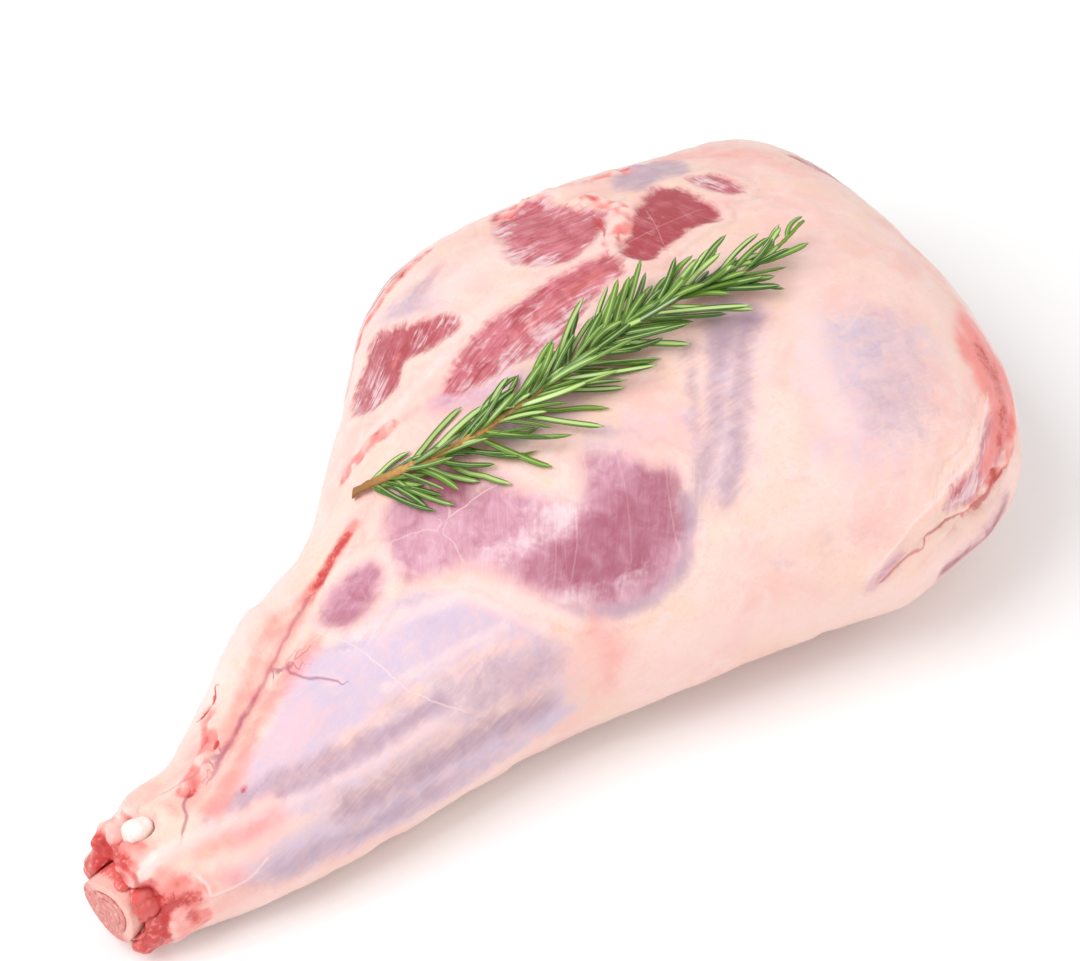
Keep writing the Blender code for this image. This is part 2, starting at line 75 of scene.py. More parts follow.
# Windows in the fat where lean shows. Each has an outline of (along, around), how dark
# the lean is, how much membrane veils it, how deep it lies in mm, and its grain's turn
# from the leg's line in degrees.
LEAN_WINDOWS = {
    "rump_cap": {
        "outline": [
            (269, -63), (275, -50), (279, -41), (272, -34), (264, -31), (256, -29), (250, -34),
            (247, -41), (253, -50), (258, -56),
        ],
        "tone": 0.50, "veil": 0.40, "depth": 0.9, "grain": 6,
    },
    "loin_wedge": {
        "outline": [
            (272, -27), (285, -36), (297, -43), (304, -42), (306, -35), (303, -21), (296, -21),
            (287, -19), (279, -17), (271, -15), (268, -21),
        ],
        "tone": 0.95, "veil": 0.16, "depth": 1.3, "grain": 82,
    },
    "loin_strip": {
        "outline": [(309, -43), (318, -42), (321, -34), (317, -29), (311, -34)],
        "tone": 0.62, "veil": 0.46, "depth": 0.5, "grain": 82,
    },
    "long_fillet": {
        "outline": [
            (264, -25), (263, -15), (255, -13), (242, -8), (231, -5), (222, -6), (213, -13), (202, -18),
            (195, -24), (195, -30), (205, -31), (217, -30), (231, -29), (247, -26),
        ],
        "tone": 0.52, "veil": 0.40, "depth": 0.8, "grain": 2,
    },
    "flank_wedge": {
        "outline": [
            (203, -65), (211, -63), (215, -51), (220, -42), (217, -37), (208, -41), (202, -48),
            (194, -46), (187, -50), (185, -58), (189, -66), (197, -67),
        ],
        "tone": 0.80, "veil": 0.50, "depth": 0.9, "grain": -12,
    },
    "far_cut": {
        "outline": [(351, -44), (359, -44), (367, -36), (372, -27), (367, -23), (361, -31), (353, -39)],
        "tone": 0.90, "veil": 0.25, "depth": 0.5, "grain": 40,
    },
    "butt_cut": {
        "outline": [
            (343, 69), (351, 72), (354, 76), (346, 78), (340, 80), (333, 83), (321, 82), (310, 81),
            (300, 78), (304, 76), (314, 74), (322, 74), (330, 72), (337, 70),
        ],
        "tone": 0.25, "veil": 0.34, "depth": 1.1, "grain": -60,
    },
}
# Muscles that show mauve through their own thin skin, with softer edges
MAUVE_WINDOWS = {
    "round_muscle": {
        "outline": [
            (156, -24), (150, -19), (143, -9), (140, 3), (143, 8), (149, 14), (153, 20), (156, 29),
            (158, 37), (161, 46), (166, 55), (173, 61), (183, 65), (193, 65), (201, 63), (206, 58),
            (211, 53), (216, 46), (211, 42), (209, 35), (200, 25), (194, 30), (187, 32), (181, 23),
            (178, 15), (179, 8), (172, 4), (168, -5), (167, -17), (162, -22),
        ],
        "tone": 0.44, "veil": 0.38, "depth": 0.4, "grain": -42,
    },
    "round_muscle_heart": {
        "outline": [
            (164, 38), (170, 37), (178, 41), (184, 40), (198, 42), (205, 40), (213, 43), (216, 47),
            (211, 53), (204, 57), (195, 57), (187, 58), (179, 56), (171, 51), (165, 45),
        ],
        "tone": 0.84, "veil": 0.24, "depth": 0.1, "grain": -42,
    },
    "round_muscle_top": {
        "outline": [(169, -21), (176, -8), (178, 2), (170, 5), (164, 0), (164, -12)],
        "tone": 0.85, "veil": 0.20, "depth": 0.4, "grain": -42,
    },
    "shank_window": {
        "outline": [
            (138, -20), (141, -12), (138, -6), (129, -1), (121, -2), (118, -11), (119, -22),
            (128, -26),
        ],
        "tone": 0.58, "veil": 0.28, "depth": 0.5, "grain": -20,
    },
    "fillet_tail": {
        "outline": [(193, -31), (201, -22), (212, -9), (201, -9), (190, -20), (188, -30)],
        "tone": 0.12, "veil": 0.55, "depth": 0.1, "grain": 6,
    },
    "mauve_bit": {
        "outline": [(274, 83), (269, 86), (259, 89), (255, 89), (262, 85)],
        "tone": 0.5, "veil": 0.30, "depth": 0.4, "grain": 0,
    },
    "under_flap": {
        "outline": [(299, 92), (312, 91), (328, 89), (342, 87), (338, 92), (320, 97), (304, 98)],
        "tone": 1.0, "veil": 0.20, "depth": 0.6, "grain": 0,
    },
}
# Soft patches: outline, strength, and reach of the soft edge in mm.
# Taut silverskin over muscle, pink to lavender
SILVERSKIN = {
    "shank_upper": (
        [
            (104, -14), (116, -2), (133, 6), (141, 14), (147, 30), (153, 46), (153, 56), (144, 50),
            (128, 43), (117, 40), (99, 38), (82, 36), (68, 33), (56, 26), (69, 8), (85, 0),
        ],
        0.95, 5,
    ),
    "shank_lower": (
        [
            (45, 62), (58, 58), (75, 61), (98, 68), (116, 72), (134, 74), (152, 80), (158, 90),
            (140, 98), (116, 100), (92, 98), (70, 94), (52, 84),
        ],
        0.85, 7,
    ),
    "shank_middle": (
        [
            (56, 30), (84, 38), (117, 42), (144, 50), (157, 58), (158, 74), (134, 72), (100, 66),
            (75, 60), (54, 50),
        ],
        0.62, 6,
    ),
    "flank_face": ([(214, -66), (224, -61), (229, -52), (227, -43), (219, -44), (214, -54)], 0.75, 8),
    "sprig_side": ([(204, 20), (226, 30), (236, 40), (226, 46), (210, 38), (196, 26)], 0.55, 8),
    "haunch_veil": (
        [
            (264, 10), (292, 12), (280, 30), (255, 46), (232, 58), (216, 54), (240, 36),
        ],
        0.55, 12,
    ),
    "butt_veil": (
        [
            (301, 25), (325, 30), (337, 45), (332, 57), (315, 65), (299, 70), (271, 70), (255, 65),
            (255, 56), (268, 43), (286, 31),
        ],
        0.55, 17,
    ),
    "sprig_top": ([(196, -16), (214, -8), (214, 14), (198, 18), (184, 6), (184, -10)], 0.6, 9),
    "haunch_middle": ([(262, 48), (286, 40), (300, 50), (292, 64), (268, 66), (250, 60)], 0.45, 12),
    "knee_side": ([(150, 60), (160, 66), (164, 78), (152, 84), (140, 76)], 0.5, 9),
}
# Dull lilac grey, where muscle lies just under the fat, and a painted shadow of the sprig
GREY_PATCHES = {
    "haunch_top": (
        [
            (302, 33), (316, 33), (330, 37), (334, 45), (326, 50), (313, 50), (304, 46), (297, 42),
        ],
        0.42, 9,
    ),
    "haunch_face": ([(313, 43), (326, 52), (311, 64), (293, 65), (279, 61), (283, 52)], 0.56, 16),
    # A painted shadow of the sprig, laid in the dull lilac grey
    "sprig_shade": ([(271, 10), (284, 20), (274, 27), (262, 30), (252, 34), (257, 23)], 0.95, 6),
    "haunch_low": (
        [
            (248, 61), (257, 67), (269, 72), (273, 78), (253, 82), (239, 79), (233, 71),
        ],
        0.30, 12,
    ),
    "round_rim": (
        [
            (163, 52), (172, 58), (184, 61), (195, 60), (203, 57), (212, 50), (214, 55), (203, 65),
            (194, 69), (183, 69), (171, 64), (163, 56),
        ],
        1.0, 4,
    ),
    "rump_top": (
        [
            (303, -60), (317, -58), (315, -48), (303, -46), (293, -43), (291, -50), (297, -56),
        ],
        1.0, 4,
    ),
    "fillet_face": ([(214, -64), (226, -60), (236, -56), (232, -50), (222, -50), (214, -56)], 0.66, 7),
    "streak_near": ([(233, 37), (229, 47), (219, 60), (214, 60), (219, 50), (226, 40)], 0.60, 6),
    "streak_far": ([(247, 45), (240, 54), (222, 62), (216, 60), (229, 52), (240, 44)], 0.60, 6),
    "knee_grey": ([(120, 50), (136, 50), (150, 54), (158, 66), (144, 72), (122, 64)], 0.72, 8),
    "heel_grey": ([(52, 78), (80, 76), (110, 80), (140, 86), (130, 96), (90, 96), (60, 92)], 0.55, 10),
    "far_strip": (
        [
            (244, -67), (230, -66), (218, -72), (206, -78), (206, -84), (222, -80), (240, -73),
        ],
        0.6, 4,
    ),
    "low_dot": ([(224, 74), (228, 74), (228, 77), (224, 77)], 0.6, 4),
}
# Lines and bands: line, strength, half width in mm.
# Darker mauve under the shank's silverskin
LILAC_STREAKS = {
    "shin_streak": ([(51, 21), (59, 21), (69, 27), (78, 34), (89, 41), (101, 47)], 0.70, 3.8),
    "calf_streak": ([(72, 37), (76, 40), (87, 45), (103, 49), (120, 51)], 0.85, 3.8),
    "calf_fade": ([(108, 44), (126, 47), (140, 52)], 0.45, 6.0),
    "calf_low_streak": ([(84, 66), (104, 70), (126, 74), (146, 80)], 0.85, 6.5),
    "heel_streak": ([(60, 80), (86, 84), (112, 88)], 0.6, 7.0),
    "knee_streak": ([(118, 2), (128, 14), (136, 30)], 0.3, 4.0),
    "haunch_streak": ([(281, 20), (268, 28), (249, 43), (235, 52), (221, 59)], 0.68, 4.2),
    "haunch_streak_near": ([(266, 23), (248, 36), (234, 46), (220, 52), (209, 57)], 0.64, 4.2),
    "haunch_streak_low": ([(254, 21), (240, 35), (230, 43)], 0.52, 3.6),
}
# Cream fat and tendon, and a painted highlight of sheen on the haunch
CREAM_BANDS = {
    "shin_band": ([(49, 26), (58, 38), (69, 44), (81, 49), (96, 56), (112, 58), (126, 60)], 0.50, 2.8),
    "calf_band": ([(112, 33), (125, 38), (136, 41), (147, 45)], 0.7, 2.4),
    "calf_line": ([(120, 60), (135, 50), (145, 45)], 0.55, 1.6),
    "knee_band": ([(120, 4), (132, 15), (145, 25), (151, 38), (156, 52)], 0.75, 4.4),
    "heel_edge": ([(41, 104), (73, 106), (104, 104), (132, 104), (160, 104), (184, 102)], 0.6, 6.0),
    "fillet_band": ([(173, -46), (185, -43), (197, -38), (210, -35), (223, -34), (240, -32)], 0.8, 3.4),
    "rump_band": ([(256, -27), (264, -28), (270, -33), (277, -31), (284, -42)], 0.6, 3.6),
    "flank_fat": ([(228, -46), (238, -46), (250, -44)], 0.8, 9.0),
    "tendon_flap": ([(84, -53), (96, -54), (110, -57), (132, -59)], 0.95, 5.0),
    "shin_tendon": ([(29, 23), (35, 25), (44, 28), (54, 27)], 1.0, 3.4),
    "haunch_band": ([(347, 44), (341, 52), (334, 60), (320, 70)], 0.55, 6.0),
    "round_band": ([(142, 18), (151, 30), (158, 45), (164, 60)], 0.7, 4.0),
    "round_top_fat": ([(178, 4), (190, 16), (200, 22)], 0.7, 4.0),
    "low_belly": ([(190, 84), (215, 88), (245, 92), (275, 94)], 0.7, 11.0),
    "haunch_front": ([(262, 70), (240, 72), (214, 72), (196, 76)], 0.45, 12.0),
    # Cream fat, stretched down the haunch's middle as a painted highlight of its sheen
    "shoulder_fat_and_sheen": ([(318, 10), (300, 22), (286, 38), (272, 54)], 0.72, 10.0),
    "roll": ([(326, 90), (300, 90), (276, 92)], 0.8, 4.0),
}
# Fat stained pink to red by blood
BLUSHES = {
    "shin_left": ([(116, -43), (104, -39), (94, -33), (84, -27), (72, -18)], 0.66, 4.4),
    "shin_right": ([(112, -14), (98, -12), (84, -8), (68, 4), (54, 14)], 0.70, 5.0),
    "stain": ([(149, -36), (142, -37), (130, -37), (124, -37)], 1.0, 3.4),
    "vein_halo": ([(124, -37), (104, -30), (90, -23), (71, -15)], 0.66, 5.0),
    "shin_low": ([(66, -12), (58, -6), (48, 0)], 0.55, 5.0),
    "heel_wash": ([(44, -34), (58, -36), (72, -36)], 0.50, 6.0),
    "shank_wash": ([(44, 40), (54, 43), (66, 46)], 0.55, 4.5),
    "hock_wash": ([(28, -30), (31, 0), (31, 34), (34, 70), (34, 110)], 0.75, 7.0),
    "hock_pink": ([(34, -24), (42, -10), (50, -4), (62, -2)], 0.50, 7.0),
    "hock_near_pink": ([(40, 52), (46, 66), (50, 84)], 0.42, 7.0),
    "hock_side": ([(38, 60), (44, 80), (44, 100)], 0.45, 8.0),
    "butt_wash": ([(357, 56), (357, 64), (354, 70)], 1.15, 9.0),
    "butt_wash_face": ([(349, 56), (349, 62), (347, 69)], 1.0, 7.0),
    "butt_wash_low": ([(366, 70), (358, 74), (348, 76)], 0.75, 6.0),
    "butt_wash_top": ([(358, 54), (362, 40), (364, 20), (360, 0)], 0.45, 9.0),
    "cut_red": ([(350, 72), (342, 75), (334, 78)], 1.0, 5.0),
    "round_wash": ([(167, 64), (170, 74), (168, 84)], 0.42, 9.0),
    "belly_wash": ([(195, 90), (216, 89), (240, 88)], 0.28, 10.0),
    "flank_wash": ([(169, -57), (172, -48), (178, -41), (187, -34)], 0.46, 3.4),
    "far_wash": ([(245, -64), (233, -64), (222, -68), (210, -74), (200, -76)], 0.65, 2.4),
    "crag_wash": ([(268, -64), (276, -60), (288, -60), (299, -59)], 0.40, 4.0),
    "rump_wash": ([(318, -58), (334, -50), (346, -36)], 0.50, 12.0),
    "sprig_wash": ([(316, -10), (300, 6), (296, 18)], 0.25, 8.0),
    "fillet_red": ([(258, -19), (246, -18), (234, -18), (222, -20)], 0.42, 5.0),
    "flank_spot": ([(204, -52), (200, -52)], 0.60, 2.0),
    "roll_wash": ([(312, 86), (296, 86), (282, 88)], 0.45, 2.6),
    "bulge_wash": ([(78, -50), (66, -40), (54, -34)], 0.35, 5.0),
}
# Wet red, bright to dark
BLOOD = {
    "stain": ([(146, -36), (138, -37), (129, -37)], 0.92, 2.8),
    "torn_hole": ([(72, -25), (70, -23)], 0.85, 1.5),
    "shin_hole": ([(56, -10), (54, -9)], 0.90, 1.3),
    "red_dot": ([(65, 19), (65.5, 19)], 0.90, 0.9),
    "flap_slit": ([(83, -50), (81, -50)], 1.0, 1.4),
    "collar": ([(27, 30), (27, 44), (28, 56)], 0.95, 2.6),
    "hock_patch": ([(29, 57), (32, 64), (37, 68)], 0.80, 3.4),
    "hock_patch_low": ([(34, 84), (36, 96)], 0.55, 2.4),
    "hock_rim": ([(28, -34), (28, -10), (27, 10)], 0.70, 2.6),
    "strip": ([(28, -36), (26, -54), (24, -84)], 1.0, 3.6),
    "gap": ([(30, 66), (28, 84), (27, 104)], 0.95, 1.8),
    "stub": ([(24, 92), (22, 110), (22, 128), (22, 156)], 1.2, 5.0),
    "knob_rim": ([(38, -30), (34, -16), (33, 0)], 0.75, 1.8),
    "rump_spot": ([(276, -40), (273, -36)], 0.75, 1.6),
    "loin_edge": ([(271, -27), (274, -30)], 0.6, 1.0),
    "far_edge_low": ([(238, -66), (230, -75), (222, -79)], 0.65, 2.0),
    "butt_red": ([(354, 60), (353, 67), (350, 74)], 0.60, 6.0),
    "cut_edge": ([(353, 70), (349, 73), (344, 76)], 0.66, 3.2),
}
# Where membrane lies thicker over the lean
VEILS = {
    "rump_cap_left": ([(250, -34), (250, -44), (256, -54)], 0.42, 5.0),
    "fillet_low": ([(200, -29), (206, -22), (214, -16)], 0.14, 6.0),
    "fillet_side": ([(216, -10), (230, -9), (246, -12), (258, -15)], 0.26, 3.0),
    "flank_left": ([(190, -64), (198, -64), (206, -62)], 0.22, 5.0),
    "round_cloud": ([(158, 22), (165, 27), (174, 31), (184, 33)], 0.44, 7.0),
    "round_rim": ([(163, 50), (172, 55), (184, 58), (195, 57), (204, 53), (211, 48)], 0.20, 4.0),
    "cut_low": ([(334, 78), (322, 78), (308, 79)], 0.34, 6.0),
}
# Thin lines: line, strength, half width in mm. Blue-red veins under the fell
VEINS = {
    "shin_vein": (
        [
            (125, -37), (116, -35), (104, -30), (97, -27), (90, -23), (81, -20), (71, -15), (63, -8),
        ],
        0.62, 1.0,
    ),
    "shin_vein_dark": ([(92, -24), (81, -20), (71, -15), (66, -11)], 0.95, 1.1),
    "branch": ([(100, -28), (101, -18), (101, -5), (103, 6), (105, 14)], 0.75, 0.6),
    "branch_knot": ([(100, -20), (102, -15)], 1.0, 1.5),
    "branch_up": ([(101, -18), (105, -15), (109, -13)], 0.6, 0.45),
    "branch_over": ([(101, -18), (104, -20), (108, -20)], 0.5, 0.4),
    "vein_dot": ([(120, -36), (119, -36)], 0.9, 1.2),
    "hole_line": ([(53, -8), (50, -2), (48, 8), (43, 19)], 0.8, 0.6),
    "torn_line": ([(69, -20), (62, -18), (56, -22), (50, -26)], 0.5, 0.5),
}
# Dark red creases between folds
CREASES = {
    "butt": ([(342, 82), (332, 84), (325, 85), (314, 83), (306, 82), (298, 82), (289, 82)], 0.68, 0.9),
    "butt_low": ([(284, 84), (275, 85), (268, 87), (262, 89)], 0.55, 0.9),
    "flap": ([(85, -50), (82, -50), (80, -52)], 1.0, 0.9),
    "gap": ([(31, 62), (29, 78), (27, 96), (26, 118)], 1.0, 0.9),
    "bone_rim": ([(26, -60), (26, -20), (26, 20), (27, 50)], 0.7, 0.8),
    "far": ([(240, -65), (232, -68), (224, -75)], 0.7, 0.9),
    "strip_edge": ([(29, -30), (27, -45), (25, -70)], 0.8, 0.7),
    "rump": ([(276, -41), (273, -35), (270, -31)], 0.7, 0.6),
}
# White threads of membrane and nerve
THREADS = {
    "nerve": ([(115, -16), (116, 11), (116, 29), (116, 41), (120, 53), (124, 60)], 0.62, 0.4),
    "net_a": ([(148, -13), (154, -5), (156, 1), (156, 8), (153, 17)], 0.45, 0.4),
    "net_b": ([(156, 1), (159, 1), (165, 4), (170, 6), (175, 9), (179, 11)], 0.55, 0.4),
    "net_d": ([(167, -17), (165, -9), (163, 0), (159, 1)], 0.5, 0.45),
    "line_a": ([(188, 31), (179, 40), (170, 48)], 0.28, 0.4),
    "line_b": ([(174, 36), (165, 46)], 0.25, 0.4),
    "line_c": ([(206, 33), (198, 43), (188, 54)], 0.25, 0.4),
    "line_d": ([(214, 45), (206, 53), (202, 60)], 0.30, 0.4),
    "round_edge": ([(181, 22), (187, 31), (195, 30), (201, 25), (209, 34)], 0.30, 0.6),
    "fell_edge": ([(40, 54), (41, 63), (41, 71), (46, 73), (52, 71), (58, 66)], 0.9, 0.7),
    "lip": (
        [
            (343, 67), (332, 71), (322, 73), (313, 74), (296, 76), (279, 78), (266, 82), (255, 86),
        ],
        0.95, 0.9,
    ),
    "haunch_fold": ([(300, 38), (308, 36), (320, 32)], 0.4, 0.6),
    "haunch_fold_low": ([(268, 74), (280, 70), (292, 72)], 0.4, 0.6),
    "butt_fold": ([(312, 72), (300, 73), (288, 75)], 0.4, 0.6),
    "flank_fold": ([(176, -62), (190, -72), (204, -74)], 0.5, 0.6),
    "wedge_crack": ([(274, -26), (283, -27), (296, -28), (302, -28)], 0.36, 0.25),
    "wedge_crack_low": ([(281, -20), (285, -27), (289, -36)], 0.36, 0.25),
}
# Ridges (+) and grooves (-) of the skin: line, height and half width in mm
RELIEF = {
    "bulge": ([(114, -55), (105, -54), (96, -52), (89, -52)], 1.9, 4.2),
    "slit": ([(88, -50), (83, -50), (79, -51)], -1.8, 1.5),
    "vein_groove": ([(131, -36), (110, -33), (94, -25), (74, -15), (60, -8)], -1.2, 2.2),
    "shin_ridge": ([(114, -44), (100, -39), (90, -33), (75, -23), (64, -18)], 0.9, 3.0),
    "shin_ridge_right": ([(112, -14), (98, -13), (84, -8), (68, 4), (54, 14)], 0.6, 3.2),
    "white_tendon": ([(27, 22), (35, 25), (46, 28), (60, 26)], 1.1, 3.2),
    "cream_band": ([(58, 38), (81, 49), (96, 56), (126, 60)], 0.55, 3.2),
    "calf_hollow": ([(72, 37), (87, 45), (116, 51)], -0.7, 3.4),
    "shin_hollow": ([(51, 21), (69, 27), (89, 41), (101, 47)], -0.5, 3.0),
    "round_groove": (
        [
            (143, -12), (140, 3), (149, 14), (158, 34), (166, 57), (183, 68), (201, 66), (214, 51),
        ],
        -0.8, 3.6,
    ),
    "knee_ridge": ([(120, 4), (132, 16), (146, 26), (155, 45), (162, 62)], 0.8, 4.6),
    "butt_lip": (
        [
            (343, 67), (322, 73), (313, 74), (296, 76), (279, 78), (266, 82), (255, 86),
        ],
        1.0, 2.2,
    ),
    "butt_crease": ([(342, 82), (325, 85), (306, 82), (289, 82), (275, 85), (262, 89)], -1.2, 1.8),
    "butt_roll": ([(325, 90), (300, 90), (275, 92)], 0.9, 4.6),
    "fell_edge": ([(40, 54), (41, 71), (46, 73), (54, 70)], 0.8, 1.5),
    "knob_rim": ([(46, -8), (42, -26), (37, -32), (32, -20), (33, 2)], 1.4, 2.4),
    "loin_rim": ([(268, -14), (266, -22), (270, -30), (284, -40), (297, -47)], 0.7, 3.0),
    "hole": ([(56, -10), (54, -9)], -1.2, 1.4),
    "torn_hole": ([(72, -25), (69, -23)], -1.2, 1.6),
}
# Torn fat and flesh: line, roughness in mm, half width in mm, and how red it is
CRAGS = {
    "rump": ([(264, -58), (274, -60), (286, -58), (300, -58)], 1.7, 4.6, 0.25),
    "rump_low": ([(281, -47), (283, -38), (276, -31), (268, -27)], 1.0, 2.8, 0.2),
    "flank": ([(166, -56), (172, -48), (180, -40)], 0.9, 3.0, 0.35),
    "far": ([(243, -64), (228, -66), (212, -74)], 0.8, 2.4, 0.35),
    "hock_top": ([(27, -42), (31, -20), (31, 6)], 1.0, 4.0, 0.35),
    "hock_collar": ([(26, 0), (27, 30), (29, 58)], 0.8, 3.0, 0.55),
    "hock_near": ([(33, 52), (37, 66), (38, 82), (38, 100)], 1.0, 4.6, 0.35),
    "hock_low": ([(26, 78), (27, 100), (26, 126), (26, 150)], 0.9, 5.0, 0.40),
    "heel": ([(30, -32), (34, -56), (30, -84)], 0.9, 5.0, 0.35),
    "shin": ([(80, -48), (72, -32), (64, -24), (54, -14)], 1.0, 3.4, 0.3),
    "butt": ([(353, 77), (338, 82), (318, 84)], 0.5, 2.4, 0.25),
    "tip": ([(357, 66), (360, 72), (354, 77)], 0.35, 3.0, 0.40),
}

# Where the flesh's own edges stay crisp: line, strength, half width in mm
CRISP = {
    "tendon_flap": ([(80, -46), (98, -54), (116, -59), (138, -60), (154, -54)], 1.0, 9),
    "butt_lip": ([(357, 62), (338, 74), (318, 79), (292, 83), (262, 88)], 1.0, 12),
    "rump_crag": ([(262, -57), (282, -56), (304, -56)], 1.0, 9),
}
# The mesh is finest up to here along the leg
FINE_TO = 60.0
# The flesh is smoothed least up to the first of these along the leg, and most past the second
CRISP_ALONG = (48, 78)
LEAST_ROUNDS, MOST_ROUNDS = 4, 44
# The sizes in mm of its swellings, lumps and crumbs
SWELLING_SIZE, LUMP_SIZE, CRUMB_SIZE = 14, 5.5, 4.4
# What is stored on each vertex for the flesh's material, three values to an attribute
ATTRIBUTES = {
    "bare_lean": ("lean", "lean_tone", "veil"),
    "veiled_lean": ("mauve", "mauve_tone", "cream"),
    "membrane": ("silverskin", "streak", "grey"),
    "stains": ("blush", "blood", ""),
    "tears": ("torn", "height", ""),
    "veins": ("vein_offset", "vein", ""),
    "creases": ("crease_offset", "crease", ""),
    "threads": ("thread_offset", "thread", ""),
}
# The white tendon over the hock that blood leaves clear: line, half width in mm
CLEAR_TENDON = ([(46, 20), (39, 22), (33, 23), (28, 25)], 2.2)

# The sprig's stem seen from above in mm
STEM_LINE = [
    (-46, 40), (-38, 27), (-27, 16), (-12, 9), (4, 5), (22, 2),
    (42, -2), (60, -7), (77, -14), (94, -15), (110, -13),
]

# The shin bone's sawn end and its line, and the knob of cartilage, in mm
BONE_FACE = 20.0
BONE_END = 186.0
BONE_HEIGHT = 18.2
BONE_END_HEIGHT = 34.0
BONE_ACROSS = -1.0
BONE_HALF_WIDTH = 10.6
BONE_HALF_HEIGHT = 10.6
BONE_WAIST = 0.86
# How far in mm the sawn rim is rounded over
BONE_RIM = 0.5
BONE_KEEL = 0.06
BONE_KEEL_TURN = 0.6
# Where the hard ring is widest on the sawn face, in radians from the far side
RING_TURN = 2.3
# Torn sinew round the bone: its turn in degrees from the far side over the top, how many
# shreds, and how red they are
SHREDS = [
    (108, 2, 0.9), (130, 2, 1.0), (150, 3, 1.0), (172, 2, 0.9), (192, 2, 0.8), (212, 2, 0.5),
    (230, 2, 0.1),
]
SHRED_SEED = 3
# From least to most in mm: a shred's distance from the bone, its place along the leg, and
# half its length, width and thickness
SHRED_OUT = (0.3, 1.8)
SHRED_ALONG = (24.4, 28.0)
SHRED_HALF_LENGTH = (3.0, 5.0)
SHRED_HALF_WIDTH = (1.8, 3.2)
SHRED_HALF_THICKNESS = (0.9, 1.6)
KNOB_PLACE = (37, 3, 36)
KNOB_HALF_SIZES = (5.6, 4.5, 5.0)

# The camera: what it looks at, and from how far, in metres, degrees and mm of lens
CAMERA_TARGET = (0.0165, 0.0175, 0.042)
CAMERA_DISTANCE = 1.190
CAMERA_AZIMUTH = -50.4
CAMERA_ELEVATION = 45.0
CAMERA_LENS = 125.0
# The floor's half size and its drop under the leg, and each light's place and size, in
# metres, with the fill light's share of the key light's power
FLOOR_HALF_SIZE = 3.0
FLOOR_DROP = 0.0004
KEY_PLACE, KEY_SIZE = (-0.9, 0.35, 1.25), 1.0
FILL_PLACE, FILL_SIZE, FILL_SHARE = (0.6, -1.1, 0.9), 1.2, 0.35


def linear(hex_colour):
    """The linear colour of an sRGB hex value."""
    shares = [int(hex_colour[k:k + 2], 16) / 255 for k in (0, 2, 4)]
    return tuple(s / 12.92 if s <= 0.04045 else ((s + 0.055) / 1.055) ** 2.4 for s in shares)


def pattern_scale(size_mm):
    """The scale of a noise on metres whose lumps are about size_mm across."""
    return 1 / (size_mm * MM)


def smooth_values(xs, ys, x):
    """The values at x on a smooth curve through the points (xs, ys)."""
    xs, ys = np.asarray(xs, float), np.asarray(ys, float)
    x = np.clip(x, xs[0], xs[-1])
    i = np.clip(np.searchsorted(xs, x) - 1, 0, len(xs) - 2)
    low = np.maximum(np.arange(len(xs)) - 1, 0)
    high = np.minimum(np.arange(len(xs)) + 1, len(xs) - 1)
    slope = (ys[high] - ys[low]) / (xs[high] - xs[low])
    span = xs[i + 1] - xs[i]
    t = (x - xs[i]) / span
    start = (2 * t**3 - 3 * t**2 + 1) * ys[i] + (t**3 - 2 * t**2 + t) * span * slope[i]
    end = (3 * t**2 - 2 * t**3) * ys[i + 1] + (t**3 - t**2) * span * slope[i + 1]
    return start + end


def smoothstep(low, high, x):
    """A soft step from 0 at low to 1 at high."""
    t = np.clip((x - low) / (high - low), 0, 1)
    return t * t * (3 - 2 * t)


class SmoothLine:
    """A smooth line in plan through a few points in mm, told by the distance along it."""

    def __init__(self, points, steps=400):
        points = np.array(points, float)
        reach = np.concatenate([[0], np.cumsum(np.hypot(*np.diff(points, axis=0).T))])
        t = np.linspace(0, reach[-1], steps + 1)
        self.points = np.stack([smooth_values(reach, points[:, k], t) for k in (0, 1)], -1)
        steps_along = np.hypot(*np.diff(self.points, axis=0).T)
        self.reach = np.concatenate([[0], np.cumsum(steps_along)])
        self.length = self.reach[-1]
        direction = np.gradient(self.points, self.reach, axis=0)
        self.direction = direction / np.linalg.norm(direction, axis=1)[:, None]

    def at(self, along):
        """Places and directions at distances; past an end the line runs straight on."""
        along = np.asarray(along, float)
        place = np.stack([np.interp(along, self.reach, self.points[:, k]) for k in (0, 1)], -1)
        direction = np.stack([np.interp(along, self.reach, self.direction[:, k]) for k in (0, 1)], -1)
        beyond = along - np.clip(along, 0, self.length)
        return place + direction * beyond[..., None], direction


leg_line = SmoothLine(MIDDLE_LINE)


def leg_coordinates(points):
    """Along (mm), around (degrees) and radius (mm) of points given in mm."""
    along = np.interp(points[:, 0], leg_line.points[:, 0], leg_line.reach)
    for _ in range(6):
        place, direction = leg_line.at(along)
        along = along + ((points[:, :2] - place) * direction).sum(1)
    place, direction = leg_line.at(along)
    offset = points[:, :2] - place
    across = offset[:, 1] * direction[:, 0] - offset[:, 0] * direction[:, 1]
    stations, shifts, heights = zip(*SECTION_MIDDLES)
    across -= smooth_values(stations, shifts, along)
    rise = points[:, 2] - smooth_values(stations, heights, along)
    return along, np.degrees(np.arctan2(-across, rise)), np.hypot(across, rise)


def on_leg(along, across, height):
    """Place in metres of a point told by along, across (far side positive) and height, in mm."""
    place, direction = leg_line.at(along)
    x = place[..., 0] - direction[..., 1] * across
    y = place[..., 1] + direction[..., 0] * across
    return Vector((float(x), float(y), float(height))) * MM


def rounded_outline(points, steps=6):
    """A closed outline of (along, around) with its corners rounded by a smooth curve."""
    points = np.array(points, float)
    t = np.arange(0, 1, 1 / steps)[:, None]
    parts = []
    for k in range(len(points)):
        before, a, b, after = (points[(k + d) % len(points)] for d in (-1, 0, 1, 2))
        lead, trail = (b - before) / 2, (after - a) / 2
        part = (2 * t**3 - 3 * t**2 + 1) * a + (t**3 - 2 * t**2 + t) * lead
        part += (3 * t**2 - 2 * t**3) * b + (t**3 - t**2) * trail
        parts.append(part)
    return np.concatenate(parts)


